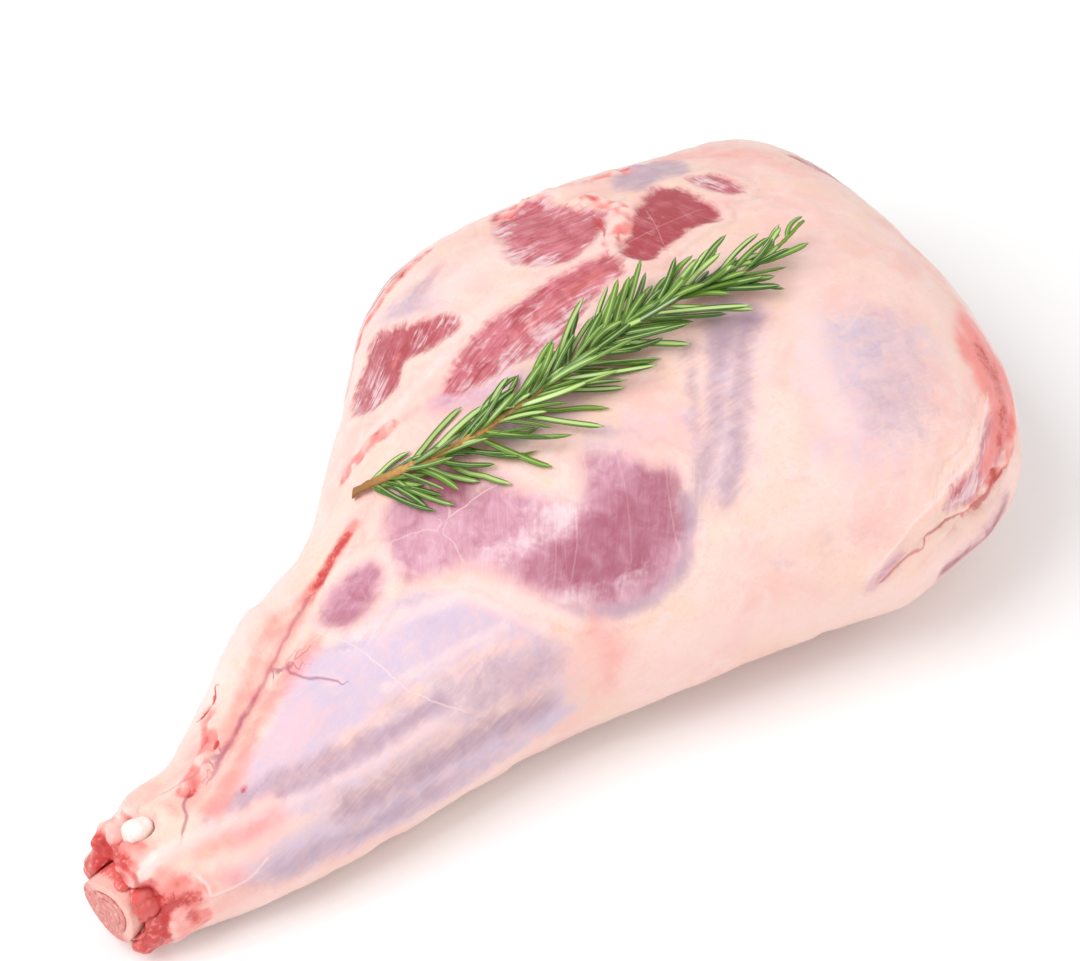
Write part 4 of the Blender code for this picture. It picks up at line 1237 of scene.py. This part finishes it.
def bone_material(settings):
    """Freshly sawn bone: a hard, pale, satin ring round pink spongy bone, with red growth lines
    and specks of marrow."""
    made, tree, surface, place = new_material("sawn_bone")
    vector = add_node(tree, "ShaderNodeAttribute", attribute_name="face").outputs["Vector"]
    inward, ringed, on_face = add_node(tree, "ShaderNodeSeparateXYZ", {"Vector": vector}).outputs
    arcs = add_node(tree, "ShaderNodeAttribute", attribute_name="sponge").outputs["Vector"]
    # Cells of spongy bone about 1.3 mm across, drawn out along the growth lines
    cells = add_node(
        tree, "ShaderNodeTexNoise", {"Vector": arcs}, {"Scale": 1.0, "Detail": 3.0, "Roughness": 0.65},
    ).outputs["Fac"]
    grains = add_node(
        tree, "ShaderNodeTexNoise", {"Vector": place}, {"Scale": pattern_scale(1.6), "Detail": 3.0},
    ).outputs["Fac"]
    spongy, _ = laid_over(tree, settings.spongy, settings.ring, grains, 0.48, 0.72, 0.7)
    spongy, _ = laid_over(tree, spongy, settings.marrow, cells, 0.52, 0.70, 0.70)
    hard, _ = laid_over(tree, settings.ring, settings.spongy, grains, 0.48, 0.75, 0.45)
    # The hard ring fades on its lower far side, and red growth lines run just inside it
    width = settings.ring_width
    edge = broken_up(tree, inward, [(grains, 0.6 * MM)])
    ring_edge = add_node(
        tree, "ShaderNodeMapRange", {"Value": edge},
        {"From Min": width - 0.25 * MM, "From Max": width + 0.35 * MM, "To Min": 1.0, "To Max": 0.0},
    ).outputs["Result"]
    share = add_node(tree, "ShaderNodeMath", {0: ring_edge, 1: ringed}, operation="MULTIPLY").outputs[0]
    colour, _ = laid_over(tree, spongy, hard, share, 0.05, 0.9, 0.95)
    for reach, half_width, most in ((0.35, 0.75, 0.95), (2.9, 0.6, 0.7)):
        offset = add_node(
            tree, "ShaderNodeMath", {0: edge}, {1: width + reach * MM}, operation="SUBTRACT",
        ).outputs[0]
        offset = add_node(tree, "ShaderNodeMath", {0: offset}, operation="ABSOLUTE").outputs[0]
        line = add_node(
            tree, "ShaderNodeMapRange", {"Value": offset},
            {"From Min": 0.1 * MM, "From Max": half_width * MM, "To Min": 1.0, "To Max": 0.0},
        ).outputs["Result"]
        for share in (ringed, on_face):
            line = add_node(tree, "ShaderNodeMath", {0: line, 1: share}, operation="MULTIPLY").outputs[0]
        line = broken_up(tree, line, [(cells, 0.9)])
        colour, _ = laid_over(tree, colour, settings.marrow, line, 0.30, 0.95, most)
    # The shaft is stained where the flesh was scraped off it
    bare = add_node(
        tree, "ShaderNodeMapRange", {"Value": on_face},
        {"From Min": 0.5, "From Max": 0.9, "To Min": 1.0, "To Max": 0.0},
    ).outputs["Result"]
    stain = broken_up(tree, bare, [(grains, 1.6)])
    colour, _ = laid_over(tree, colour, settings.shred, stain, 0.30, 1.0, 0.9)
    dress(tree, surface, {
        "Base Color": colour, "Roughness": 0.44, "Subsurface Weight": 0.12, "Subsurface Scale": 0.003,
    }, cells, 0.6, 0.35)
    return made


def cartilage_material(settings):
    """Wet cartilage: smooth, milky and glossy, with a faint pink cast."""
    made, tree, surface, place = new_material("wet_cartilage")
    # Milky clouds about 4 mm across
    clouds = add_node(
        tree, "ShaderNodeTexNoise", {"Vector": place}, {"Scale": pattern_scale(4), "Detail": 3.0},
    ).outputs["Fac"]
    colour, _ = laid_over(tree, settings.cartilage, settings.ring, clouds, 0.46, 0.78, 0.5)
    dress(tree, surface, {
        "Base Color": colour, "Roughness": 0.24, "Coat Weight": 0.35, "Coat Roughness": 0.10,
        "Subsurface Weight": 0.3, "Subsurface Scale": 0.004,
    })
    return made


def shred_material(settings):
    """Torn sinew and muscle, wet and glossy: red, with paler strands of fat."""
    made, tree, surface, place = new_material("torn_wet_sinew")
    tone = add_node(tree, "ShaderNodeAttribute", attribute_name="tone").outputs["Fac"]
    # Strands about 2 mm across
    strands = add_node(
        tree, "ShaderNodeTexNoise", {"Vector": place},
        {"Scale": pattern_scale(2), "Detail": 3.0, "Distortion": 0.8},
    ).outputs["Fac"]
    mask = broken_up(tree, tone, [(strands, 1.6)])
    colour, _ = laid_over(tree, settings.shred, settings.shred_pale, mask, 0.2, 0.9, 1.0)
    dress(tree, surface, {
        "Base Color": colour, "Roughness": 0.30, "Coat Weight": 0.3, "Coat Roughness": 0.15,
        "Subsurface Weight": 0.2, "Subsurface Scale": 0.003,
    }, strands, 0.6, 0.4)
    return made


def bone_outline(angle, middle):
    """Half width and half height in mm of the bone at an angle, middle of the way up."""
    waist = 1 - (1 - BONE_WAIST) * math.sin(math.pi * middle)
    keel = 1 + BONE_KEEL * math.cos(3 * angle - BONE_KEEL_TURN)
    return BONE_HALF_WIDTH * waist * keel, BONE_HALF_HEIGHT * waist * keel


def build_bone(settings):
    """The shin bone: a sawn face with a hard ring and spongy middle, then the shaft."""
    sides, rings, face_rings, rim_rings = 96, 44, 24, 4
    ring_share = settings.ring_width / MM / BONE_HALF_WIDTH

    def place(share, angle, closing):
        ring = round(share * rings)
        face = min(ring / face_rings, 1.0)
        past_rim = max(ring - face_rings, 0)
        rounding = min(past_rim / rim_rings, 1.0) * math.pi / 2
        shaft_rings = rings - face_rings - rim_rings - 1
        back = min(max(ring - face_rings - rim_rings, 0) / shaft_rings, 1.0)
        half_width, half_height = bone_outline(angle, back)
        reach = face * (1 - 0.045 * (1 - math.sin(rounding)))
        if share > 0.999:
            reach = 0.0
        along = BONE_FACE + BONE_RIM * (1 - math.cos(rounding))
        along += (BONE_END - BONE_FACE - BONE_RIM) * back
        height = BONE_HEIGHT + (BONE_END_HEIGHT - BONE_HEIGHT) * back
        across = BONE_ACROSS + math.cos(angle) * half_width * reach
        height += math.sin(angle) * half_height * reach
        if past_rim == 0:
            inward = 1 - face
            # The growth groove runs inside the ring on the near and upper side
            groove = math.exp(-(((inward - ring_share) / 0.05) ** 2))
            groove *= 0.5 + 0.5 * math.cos(angle - RING_TURN)
            pits = noise.noise(Vector((across / 1.3, height / 1.3, 4.2)))
            along += 0.5 * groove + (0.35 * max(pits, 0) if inward > ring_share else 0.0)
        return on_leg(along, across, height)

    bone = new_object("sawn_shank_bone", swept_ball(sides, rings, place), [bone_material(settings)])
    points = get_points(bone.data)
    direction = leg_line.at(BONE_FACE)[1]
    centre = np.array(on_leg(BONE_FACE, BONE_ACROSS, BONE_HEIGHT)) / MM
    offset = points - centre
    across = -offset[:, 0] * direction[1] + offset[:, 1] * direction[0]
    back = offset[:, 0] * direction[0] + offset[:, 1] * direction[1]
    angle = np.arctan2(offset[:, 2], across)
    keel = 1 + BONE_KEEL * np.cos(3 * angle - BONE_KEEL_TURN)
    share = np.hypot(across / BONE_HALF_WIDTH, offset[:, 2] / BONE_HALF_HEIGHT) / keel
    inward = np.clip(1 - share, 0, 1) * BONE_HALF_WIDTH * MM
    ringed = smoothstep(-0.55, 0.35, np.cos(angle - RING_TURN))
    on_face = smoothstep(2.0, 1.0, back)
    set_attribute(bone.data, "face", np.stack([inward, ringed, on_face], -1), "FLOAT_VECTOR")
    sponge = np.stack([across / 1.2, offset[:, 2] / 2.8 + across * 0.25, offset[:, 0] / 8], -1)
    set_attribute(bone.data, "sponge", sponge, "FLOAT_VECTOR")
    return bone


def build_knob(settings):
    """The knob of cartilage: one rounded lobe with a faint waist."""
    along, across, height = KNOB_PLACE

    def place(share, angle, closing):
        forward = -math.cos(math.pi * share)
        waist = 1 - 0.09 * math.exp(-(((forward - 0.3) / 0.25) ** 2))
        ring = math.sin(math.pi * share) * closing * waist * (1 - 0.12 * forward)
        dimple = 1 + 0.05 * math.sin(3 * angle + 1.0) * math.sin(4 * share)
        sideways = ring * math.cos(angle) * KNOB_HALF_SIZES[1] * dimple
        upward = ring * math.sin(angle) * KNOB_HALF_SIZES[2] * dimple
        return on_leg(along + forward * KNOB_HALF_SIZES[0], across + sideways, height + upward)

    return new_object("hock_knob", swept_ball(40, 30, place), [cartilage_material(settings)])


def build_shreds(settings):
    """Torn sinew that stands round the bone where the flesh was cut through."""
    rng = random.Random(SHRED_SEED)
    joined = bmesh.new()
    tone_layer = joined.verts.layers.float.new("tone")
    for turn, count, redness in SHREDS:
        for k in range(count):
            angle = math.radians(turn + rng.uniform(-11, 11))
            out = rng.uniform(*SHRED_OUT)
            along = rng.uniform(*SHRED_ALONG)
            half_length = rng.uniform(*SHRED_HALF_LENGTH)
            half_width = rng.uniform(*SHRED_HALF_WIDTH)
            half_height = rng.uniform(*SHRED_HALF_THICKNESS)
            half_bone = bone_outline(angle, 0.0)
            shift = rng.uniform(0, 50)
            tone = min(max(1 - redness + rng.uniform(-0.3, 0.3), 0.0), 1.0)

            def place(share, around, closing):
                ring = math.sin(math.pi * share) ** 0.8 * closing if 0 < share < 1 else 0.0
                forward = -math.cos(math.pi * share) * half_length
                sideways = math.cos(around) * half_width * ring
                outward = math.sin(around) * half_height * ring
                lump = 1 + 0.35 * noise.noise(Vector((forward / 2, sideways + shift, outward)))
                reach_across = (half_bone[0] + out + outward * lump) * math.cos(angle)
                reach_up = (half_bone[1] + out + outward * lump) * math.sin(angle)
                across = BONE_ACROSS + reach_across - math.sin(angle) * sideways * lump
                height = BONE_HEIGHT + reach_up + math.cos(angle) * sideways * lump
                return on_leg(max(along + forward, BONE_FACE + 1.5), across, max(height, 0.3))

            def marks(vertex, share, around, closing):
                vertex[tone_layer] = tone

            add_ball(joined, 16, 12, place, marks)
    bmesh.ops.recalc_face_normals(joined, faces=joined.faces)
    return new_object("torn_sinew", joined, [shred_material(settings)])


class LAMB_OT_bone(bpy.types.Operator):
    """Make the sawn shin bone, the knob of cartilage and the torn sinew beside it"""

    bl_idname = "lamb.bone"
    bl_label = "Shank Bone"

    def execute(self, context):
        settings = context.scene.lamb_bone
        bone = build_bone(settings)
        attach(bone, "root")
        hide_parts("shank_bone")
        knob = build_knob(settings)
        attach(knob, "root")
        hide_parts("hock_cartilage")
        shreds = build_shreds(settings)
        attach(shreds, "root")
        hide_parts("meat")
        return {"FINISHED"}


def leaf_material(settings):
    """Fresh rosemary needles: leathery and satin green above with a pale midline, partly a painted
    highlight, and felted nearly white below."""
    made, tree, surface, place = new_material("fresh_rosemary_leaf")
    named = {}
    for name in ("topside", "blade", "tone", "reach"):
        named[name] = add_node(tree, "ShaderNodeAttribute", attribute_name=name).outputs["Fac"]
    # Blotches about 3 mm across along the blade
    blotches = add_node(
        tree, "ShaderNodeTexNoise", {"Vector": place}, {"Scale": pattern_scale(3), "Detail": 3.0},
    ).outputs["Fac"]
    tone = broken_up(tree, named["tone"], [(blotches, 0.6)])
    colour, _ = laid_over(tree, settings.leaf_dark, settings.leaf, tone, 0.0, 1.0, 1.0)
    # The midline is a pale stripe a fifth of the blade's width, partly a painted highlight along the
    # blade's crest, and the rolled margins are darker
    blade = add_node(tree, "ShaderNodeMath", {0: named["blade"]}, operation="ABSOLUTE").outputs[0]
    colour, _ = laid_over(tree, colour, settings.leaf_pale, blade, 0.34, 0.08, 0.62)
    colour, _ = laid_over(tree, colour, settings.leaf_dark, blade, 0.72, 1.0, 0.55)
    # The underside is felted pale between its rolled green margins
    felt_width = add_node(
        tree, "ShaderNodeMapRange", {"Value": blade},
        {"From Min": 0.36, "From Max": 0.62, "To Min": 1.0, "To Max": 0.0},
        interpolation_type="SMOOTHSTEP",
    ).outputs["Result"]
    below = add_node(
        tree, "ShaderNodeMapRange", {"Value": named["topside"]},
        {"From Min": -0.25, "From Max": 0.05, "To Min": 1.0, "To Max": 0.0},
        interpolation_type="SMOOTHSTEP",
    ).outputs["Result"]
    felt = add_node(tree, "ShaderNodeMath", {0: felt_width, 1: below}, operation="MULTIPLY").outputs[0]
    colour, _ = laid_over(tree, colour, settings.leaf_pale, felt, 0.0, 1.0, 0.85)
    # The foot of a needle is paler
    colour, _ = laid_over(tree, colour, settings.leaf_pale, named["reach"], 0.20, 0.0, 0.5)
    dress(tree, surface, {
        "Base Color": colour, "Roughness": 0.34, "Coat Weight": 0.14, "Coat Roughness": 0.25,
    }, blotches, 0.3, 0.15)
    return made


def wood_material(settings):
    """Young rosemary wood: matt, finely ribbed bark, greener towards the tip."""
    made, tree, surface, place = new_material("young_rosemary_wood")
    reach = add_node(tree, "ShaderNodeAttribute", attribute_name="reach").outputs["Fac"]
    # Bark ribs just under 1 mm wide
    ribs = add_node(
        tree, "ShaderNodeTexNoise", {"Vector": place}, {"Scale": pattern_scale(0.9), "Detail": 3.0},
    ).outputs["Fac"]
    colour, _ = laid_over(tree, settings.wood, settings.bark, ribs, 0.46, 0.70, 0.6)
    colour, _ = laid_over(tree, colour, settings.bark, reach, 0.06, 0.0, 0.85)
    colour, _ = laid_over(tree, colour, settings.leaf, reach, 0.62, 0.92, 0.9)
    dress(tree, surface, {"Base Color": colour, "Roughness": 0.6}, ribs, 0.6, 0.2)
    return made


class Sprig:
    """The stem's line over the flesh, and the needles set along it."""

    NEEDLE_SIDES = 10
    NEEDLE_RINGS = 11
    # The gap in mm kept to the flesh, under a needle and this far beside it
    CLEARANCE = 0.9
    CLEARANCE_REACH = 1.3
    # At every other joint, each needle's turn about the stem in degrees, 0 being straight up
    # and minus the near side, and its share of the full length
    JOINTS = [
        [(-98, 1.0), (-68, 1.0), (-34, 0.85), (6, 0.7), (50, 0.9), (86, 1.0)],
        [(-84, 1.0), (-52, 0.95), (-12, 0.72), (26, 0.75), (66, 1.0), (100, 1.0)],
    ]
    # A needle's growth and its turn away from the stem, up the stem
    GROWTH = ([0.0, 0.25, 0.55, 0.85, 1.0], [0.80, 0.98, 1.0, 0.70, 0.36])
    SPREAD = ([0.0, 0.3, 0.75, 1.0], [40.0, 40.0, 28.0, 10.0])
    # The share of a joint's needles that are still there, up the stem
    KEPT = ([0.0, 0.12, 0.34, 0.74, 0.86, 1.0], [0.66, 0.88, 0.96, 0.86, 0.30, 0.26])
    # The stem's height over the flesh in mm, up the stem, and its radius at foot and tip
    STEM_HEIGHTS = ([0.0, 0.3, 0.8, 1.0], [2.6, 6.0, 6.0, 7.5])
    STEM_RADIUS = 1.6
    TIP_RADIUS = 0.6
    # How far the first and the last joint are from the stem's ends, in mm
    FIRST_JOINT = 5.0
    LAST_JOINT = 4.0
    # The uneven lengths of needles, as shares, and half their thickness in mm
    LENGTH_SHARES = (0.62, 0.8, 0.92, 1.0, 1.06)
    HALF_THICKNESS = 0.5
    # How often a needle lies with its pale underside up
    TURNED_OVER = 0.26

    def __init__(self, flesh, settings):
        mesh = bmesh.new()
        mesh.from_mesh(flesh.data)
        self.flesh = BVHTree.FromBMesh(mesh)
        mesh.free()
        self.line = SmoothLine(STEM_LINE)
        self.length = self.line.length
        self.settings = settings
        self.rng = random.Random(settings.seed)
        self.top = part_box("rosemary_sprig")[1][2] / MM - 1.2

    def flesh_height(self, x, y):
        """Height in mm of the flesh under a place seen from above."""
        hit = self.flesh.ray_cast(Vector((x, y, 400)) * MM, Vector((0, 0, -1)))
        return hit[0].z / MM if hit[0] else 0.0

    def lift(self, point):
        """The point raised, if need be, to keep clear of the flesh under and beside it."""
        reach = self.CLEARANCE_REACH
        lowest = max(
            self.flesh_height(point.x + dx, point.y + dy)
            for dx, dy in ((0, 0), (reach, 0), (-reach, 0), (0, reach), (0, -reach))
        )
        return Vector((point.x, point.y, min(max(point.z, lowest + self.CLEARANCE), self.top)))

    def stem_point(self, distance):
        """The stem's middle in mm at a distance along it, and its direction."""
        place, direction = self.line.at(distance)
        height = smooth_values(*self.STEM_HEIGHTS, distance / self.length)
        base = self.flesh_height(float(place[0]), float(place[1]))
        centre = Vector((float(place[0]), float(place[1]), base + float(height)))
        return centre, Vector((float(direction[0]), float(direction[1]), 0.0))

    def stem(self):
        """The woody stem, as one piece."""
        sides, rings = 12, 90

        def place(share, angle, closing):
            part = min(max((share - 0.02) / 0.96, 0.0), 1.0)
            distance = self.length * part
            centre, direction = self.stem_point(distance)
            joint = 1 + 0.14 * math.cos(math.tau * distance / (self.settings.joint_spacing / MM))
            rib = 1 + 0.05 * math.cos(4 * angle)
            radius = self.STEM_RADIUS + (self.TIP_RADIUS - self.STEM_RADIUS) * part
            radius *= joint * rib * closing
            side = Vector((-direction.y, direction.x, 0.0))
            upright = Vector((0, 0, math.sin(angle) * radius))
            return (centre + side * math.cos(angle) * radius + upright) * MM

        mesh = swept_ball(sides, rings, place)
        stem = new_object("rosemary_stem", mesh, [wood_material(self.settings)])
        points = get_points(stem.data)
        reach = (points[:, 0] - STEM_LINE[0][0]) / (STEM_LINE[-1][0] - STEM_LINE[0][0])
        set_attribute(stem.data, "reach", np.clip(reach, 0, 1))
        return stem

    def needle(self, mesh, layers, distance, roll, size):
        """Adds one narrow leaf that leaves the stem at a distance, turned by roll about it."""
        rng = self.rng
        share = distance / self.length
        root, forward = self.stem_point(distance)
        length = self.settings.needle_length / MM * size * float(smooth_values(*self.GROWTH, share))
        length *= rng.choice(self.LENGTH_SHARES) * rng.uniform(0.92, 1.06)
        spread = math.radians(float(smooth_values(*self.SPREAD, share)) + rng.uniform(-12, 12))
        side = Vector((-forward.y, forward.x, 0.0))
        outward = side * math.sin(roll) + Vector((0, 0, math.cos(roll)))
        heading = forward * math.cos(spread) + outward * math.sin(spread)
        # Most needles turn their upper side to the sky, and some lie turned over
        wide = heading.cross(Vector((0, 0, 1))).normalized()
        thick = wide.cross(heading).normalized()
        twist = rng.uniform(-0.6, 0.6) + (math.pi if rng.random() < self.TURNED_OVER else 0.0)
        wide, thick = (
            wide * math.cos(twist) + thick * math.sin(twist),
            thick * math.cos(twist) - wide * math.sin(twist),
        )
        bend = rng.uniform(-1.8, 1.8)
        curl = rng.uniform(-0.08, 0.32) * length
        droop = rng.uniform(0.5, 3.2)
        half_width = self.settings.needle_width / MM / 2 * rng.uniform(0.86, 1.1)
        tone = rng.uniform(0.1, 1.0)

        rings = []
        for k in range(self.NEEDLE_RINGS + 1):
            part = k / self.NEEDLE_RINGS
            middle = root + heading * length * part + (forward - heading) * curl * part**2
            middle -= Vector((0, 0, droop * part**2))
            middle += side * bend * math.sin(math.pi * part * 0.9)
            rings.append(self.lift(middle))

        def place(part, angle, closing):
            at = part * self.NEEDLE_RINGS
            k = min(int(at), self.NEEDLE_RINGS - 1)
            middle = rings[k].lerp(rings[k + 1], at - k)
            width = min(1.0, 0.42 + 2.6 * part) * (1 - max(0.0, part - 0.80) / 0.20 * 0.5) * closing
            across = math.cos(angle)
            up = math.sin(angle)
            if up >= 0:
                depth = up**0.8 - 0.42 * math.exp(-((across / 0.3) ** 2)) * up
            else:
                depth = up * (0.45 + 0.75 * across**2)
            offset = wide * across * half_width + thick * depth * self.HALF_THICKNESS
            return (middle + offset * width) * MM

        def marks(vertex, part, angle, closing):
            vertex[layers["topside"]] = math.sin(angle) * closing
            vertex[layers["blade"]] = math.cos(angle) * closing
            vertex[layers["tone"]] = tone
            vertex[layers["reach"]] = part

        add_ball(mesh, self.NEEDLE_SIDES, self.NEEDLE_RINGS, place, marks)

    def needles(self):
        """All the needles, as one piece."""
        mesh = bmesh.new()
        names = ("topside", "blade", "tone", "reach")
        layers = {name: mesh.verts.layers.float.new(name) for name in names}
        distance = self.FIRST_JOINT
        joint = 0
        while distance < self.length - self.LAST_JOINT:
            share = distance / self.length
            kept = float(smooth_values(*self.KEPT, share))
            for turn, size in self.JOINTS[joint % 2]:
                if self.rng.random() > kept:
                    continue
                roll = math.radians(turn) + self.rng.uniform(-0.35, 0.35)
                self.needle(mesh, layers, distance + self.rng.uniform(-1.8, 1.8), roll, size)
            joint += 1
            distance += self.settings.joint_spacing / MM * self.rng.uniform(0.85, 1.15)
        bmesh.ops.recalc_face_normals(mesh, faces=mesh.faces)
        return new_object("rosemary_needles", mesh, [leaf_material(self.settings)])


class LAMB_OT_rosemary(bpy.types.Operator):
    """Lay the sprig of rosemary on the flesh"""

    bl_idname = "lamb.rosemary"
    bl_label = "Rosemary Sprig"

    def execute(self, context):
        sprig = Sprig(bpy.data.objects["leg_flesh"], context.scene.lamb_rosemary)
        stem = sprig.stem()
        needles = sprig.needles()
        for piece in (stem, needles):
            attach(piece, "root")
            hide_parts("rosemary_sprig")
        return {"FINISHED"}


def floor_material(settings):
    """Matt white studio board, with a tooth just visible."""
    made, tree, surface, place = new_material("matt_white_board")
    tooth = add_node(
        tree, "ShaderNodeTexNoise", {"Vector": place}, {"Scale": pattern_scale(2), "Detail": 3.0},
    ).outputs["Fac"]
    dress(tree, surface, {
        "Base Color": opaque(settings.floor), "Roughness": 0.85, "Specular IOR Level": 0.2,
    }, tooth, 0.05, 0.1)
    return made


class LAMB_OT_stage(bpy.types.Operator):
    """Set the floor, the soft light and the camera"""

    bl_idname = "lamb.stage"
    bl_label = "Stage"

    def execute(self, context):
        settings = context.scene.lamb_stage
        mesh = bmesh.new()
        bmesh.ops.create_grid(mesh, x_segments=4, y_segments=4, size=FLOOR_HALF_SIZE)
        bmesh.ops.translate(mesh, verts=mesh.verts, vec=(0, 0, -FLOOR_DROP))
        new_object("studio_floor", mesh, [floor_material(settings)])

        world = bpy.data.worlds.new("studio_room")
        context.scene.world = world
        world.use_nodes = True
        sky = world.node_tree.nodes["Background"]
        sky.inputs["Color"].default_value = opaque(linear("FFFFFF"))
        sky.inputs["Strength"].default_value = settings.sky_strength

        self.add_light(context, "key_softbox", KEY_PLACE, KEY_SIZE, settings.key_power)
        fill_power = settings.key_power * FILL_SHARE
        self.add_light(context, "fill_softbox", FILL_PLACE, FILL_SIZE, fill_power)
        self.add_camera(context)
        # Shows the hex colours as they are
        context.scene.view_settings.view_transform = "Standard"
        return {"FINISHED"}

    def add_light(self, context, name, place, size, power):
        data = bpy.data.lights.new(name, "AREA")
        data.shape = "SQUARE"
        data.size = size
        data.energy = power
        light = bpy.data.objects.new(name, data)
        light.location = place
        light.rotation_euler = (-Vector(place)).to_track_quat("-Z", "Y").to_euler()
        context.scene.collection.objects.link(light)

    def add_camera(self, context):
        azimuth, elevation = math.radians(CAMERA_AZIMUTH), math.radians(CAMERA_ELEVATION)
        back = Vector((
            math.sin(azimuth) * math.cos(elevation),
            -math.cos(azimuth) * math.cos(elevation),
            math.sin(elevation),
        ))
        data = bpy.data.cameras.new("studio_camera")
        data.lens = CAMERA_LENS
        data.sensor_width = 36.0
        data.clip_start = 0.05
        data.clip_end = 20.0
        camera = bpy.data.objects.new("studio_camera", data)
        camera.location = Vector(CAMERA_TARGET) + back * CAMERA_DISTANCE
        camera.rotation_euler = (-back).to_track_quat("-Z", "Y").to_euler()
        context.scene.collection.objects.link(camera)
        context.scene.camera = camera


class LAMB_PT_panel(bpy.types.Panel):
    """Lists the pieces of the leg of lamb"""

    bl_idname = "LAMB_PT_panel"
    bl_label = "Raw Leg of Lamb"
    bl_space_type = "VIEW_3D"
    bl_region_type = "UI"
    bl_category = "Lamb"

    def draw(self, context):
        for operator, owner in OPERATORS:
            box = self.layout.box()
            box.operator(operator.bl_idname)
            settings = getattr(context.scene, owner)
            for name in settings.bl_rna.properties.keys():
                if name not in ("rna_type", "name"):
                    box.prop(settings, name)


SETTINGS = {
    "lamb_flesh": FleshSettings,
    "lamb_bone": BoneSettings,
    "lamb_rosemary": RosemarySettings,
    "lamb_stage": StageSettings,
}
OPERATORS = [
    (LAMB_OT_flesh, "lamb_flesh"),
    (LAMB_OT_bone, "lamb_bone"),
    (LAMB_OT_rosemary, "lamb_rosemary"),
    (LAMB_OT_stage, "lamb_stage"),
]


def register():
    for owner, settings in SETTINGS.items():
        bpy.utils.register_class(settings)
        setattr(bpy.types.Scene, owner, PointerProperty(type=settings))
    for operator, _ in OPERATORS:
        bpy.utils.register_class(operator)
    bpy.utils.register_class(LAMB_PT_panel)


def unregister():
    bpy.utils.unregister_class(LAMB_PT_panel)
    for operator, _ in reversed(OPERATORS):
        bpy.utils.unregister_class(operator)
    for owner, settings in SETTINGS.items():
        delattr(bpy.types.Scene, owner)
        bpy.utils.unregister_class(settings)


def main():
    register()
    bpy.ops.lamb.flesh()
    bpy.ops.lamb.bone()
    bpy.ops.lamb.rosemary()
    bpy.ops.lamb.stage()


if __name__ == "__main__":
    main()
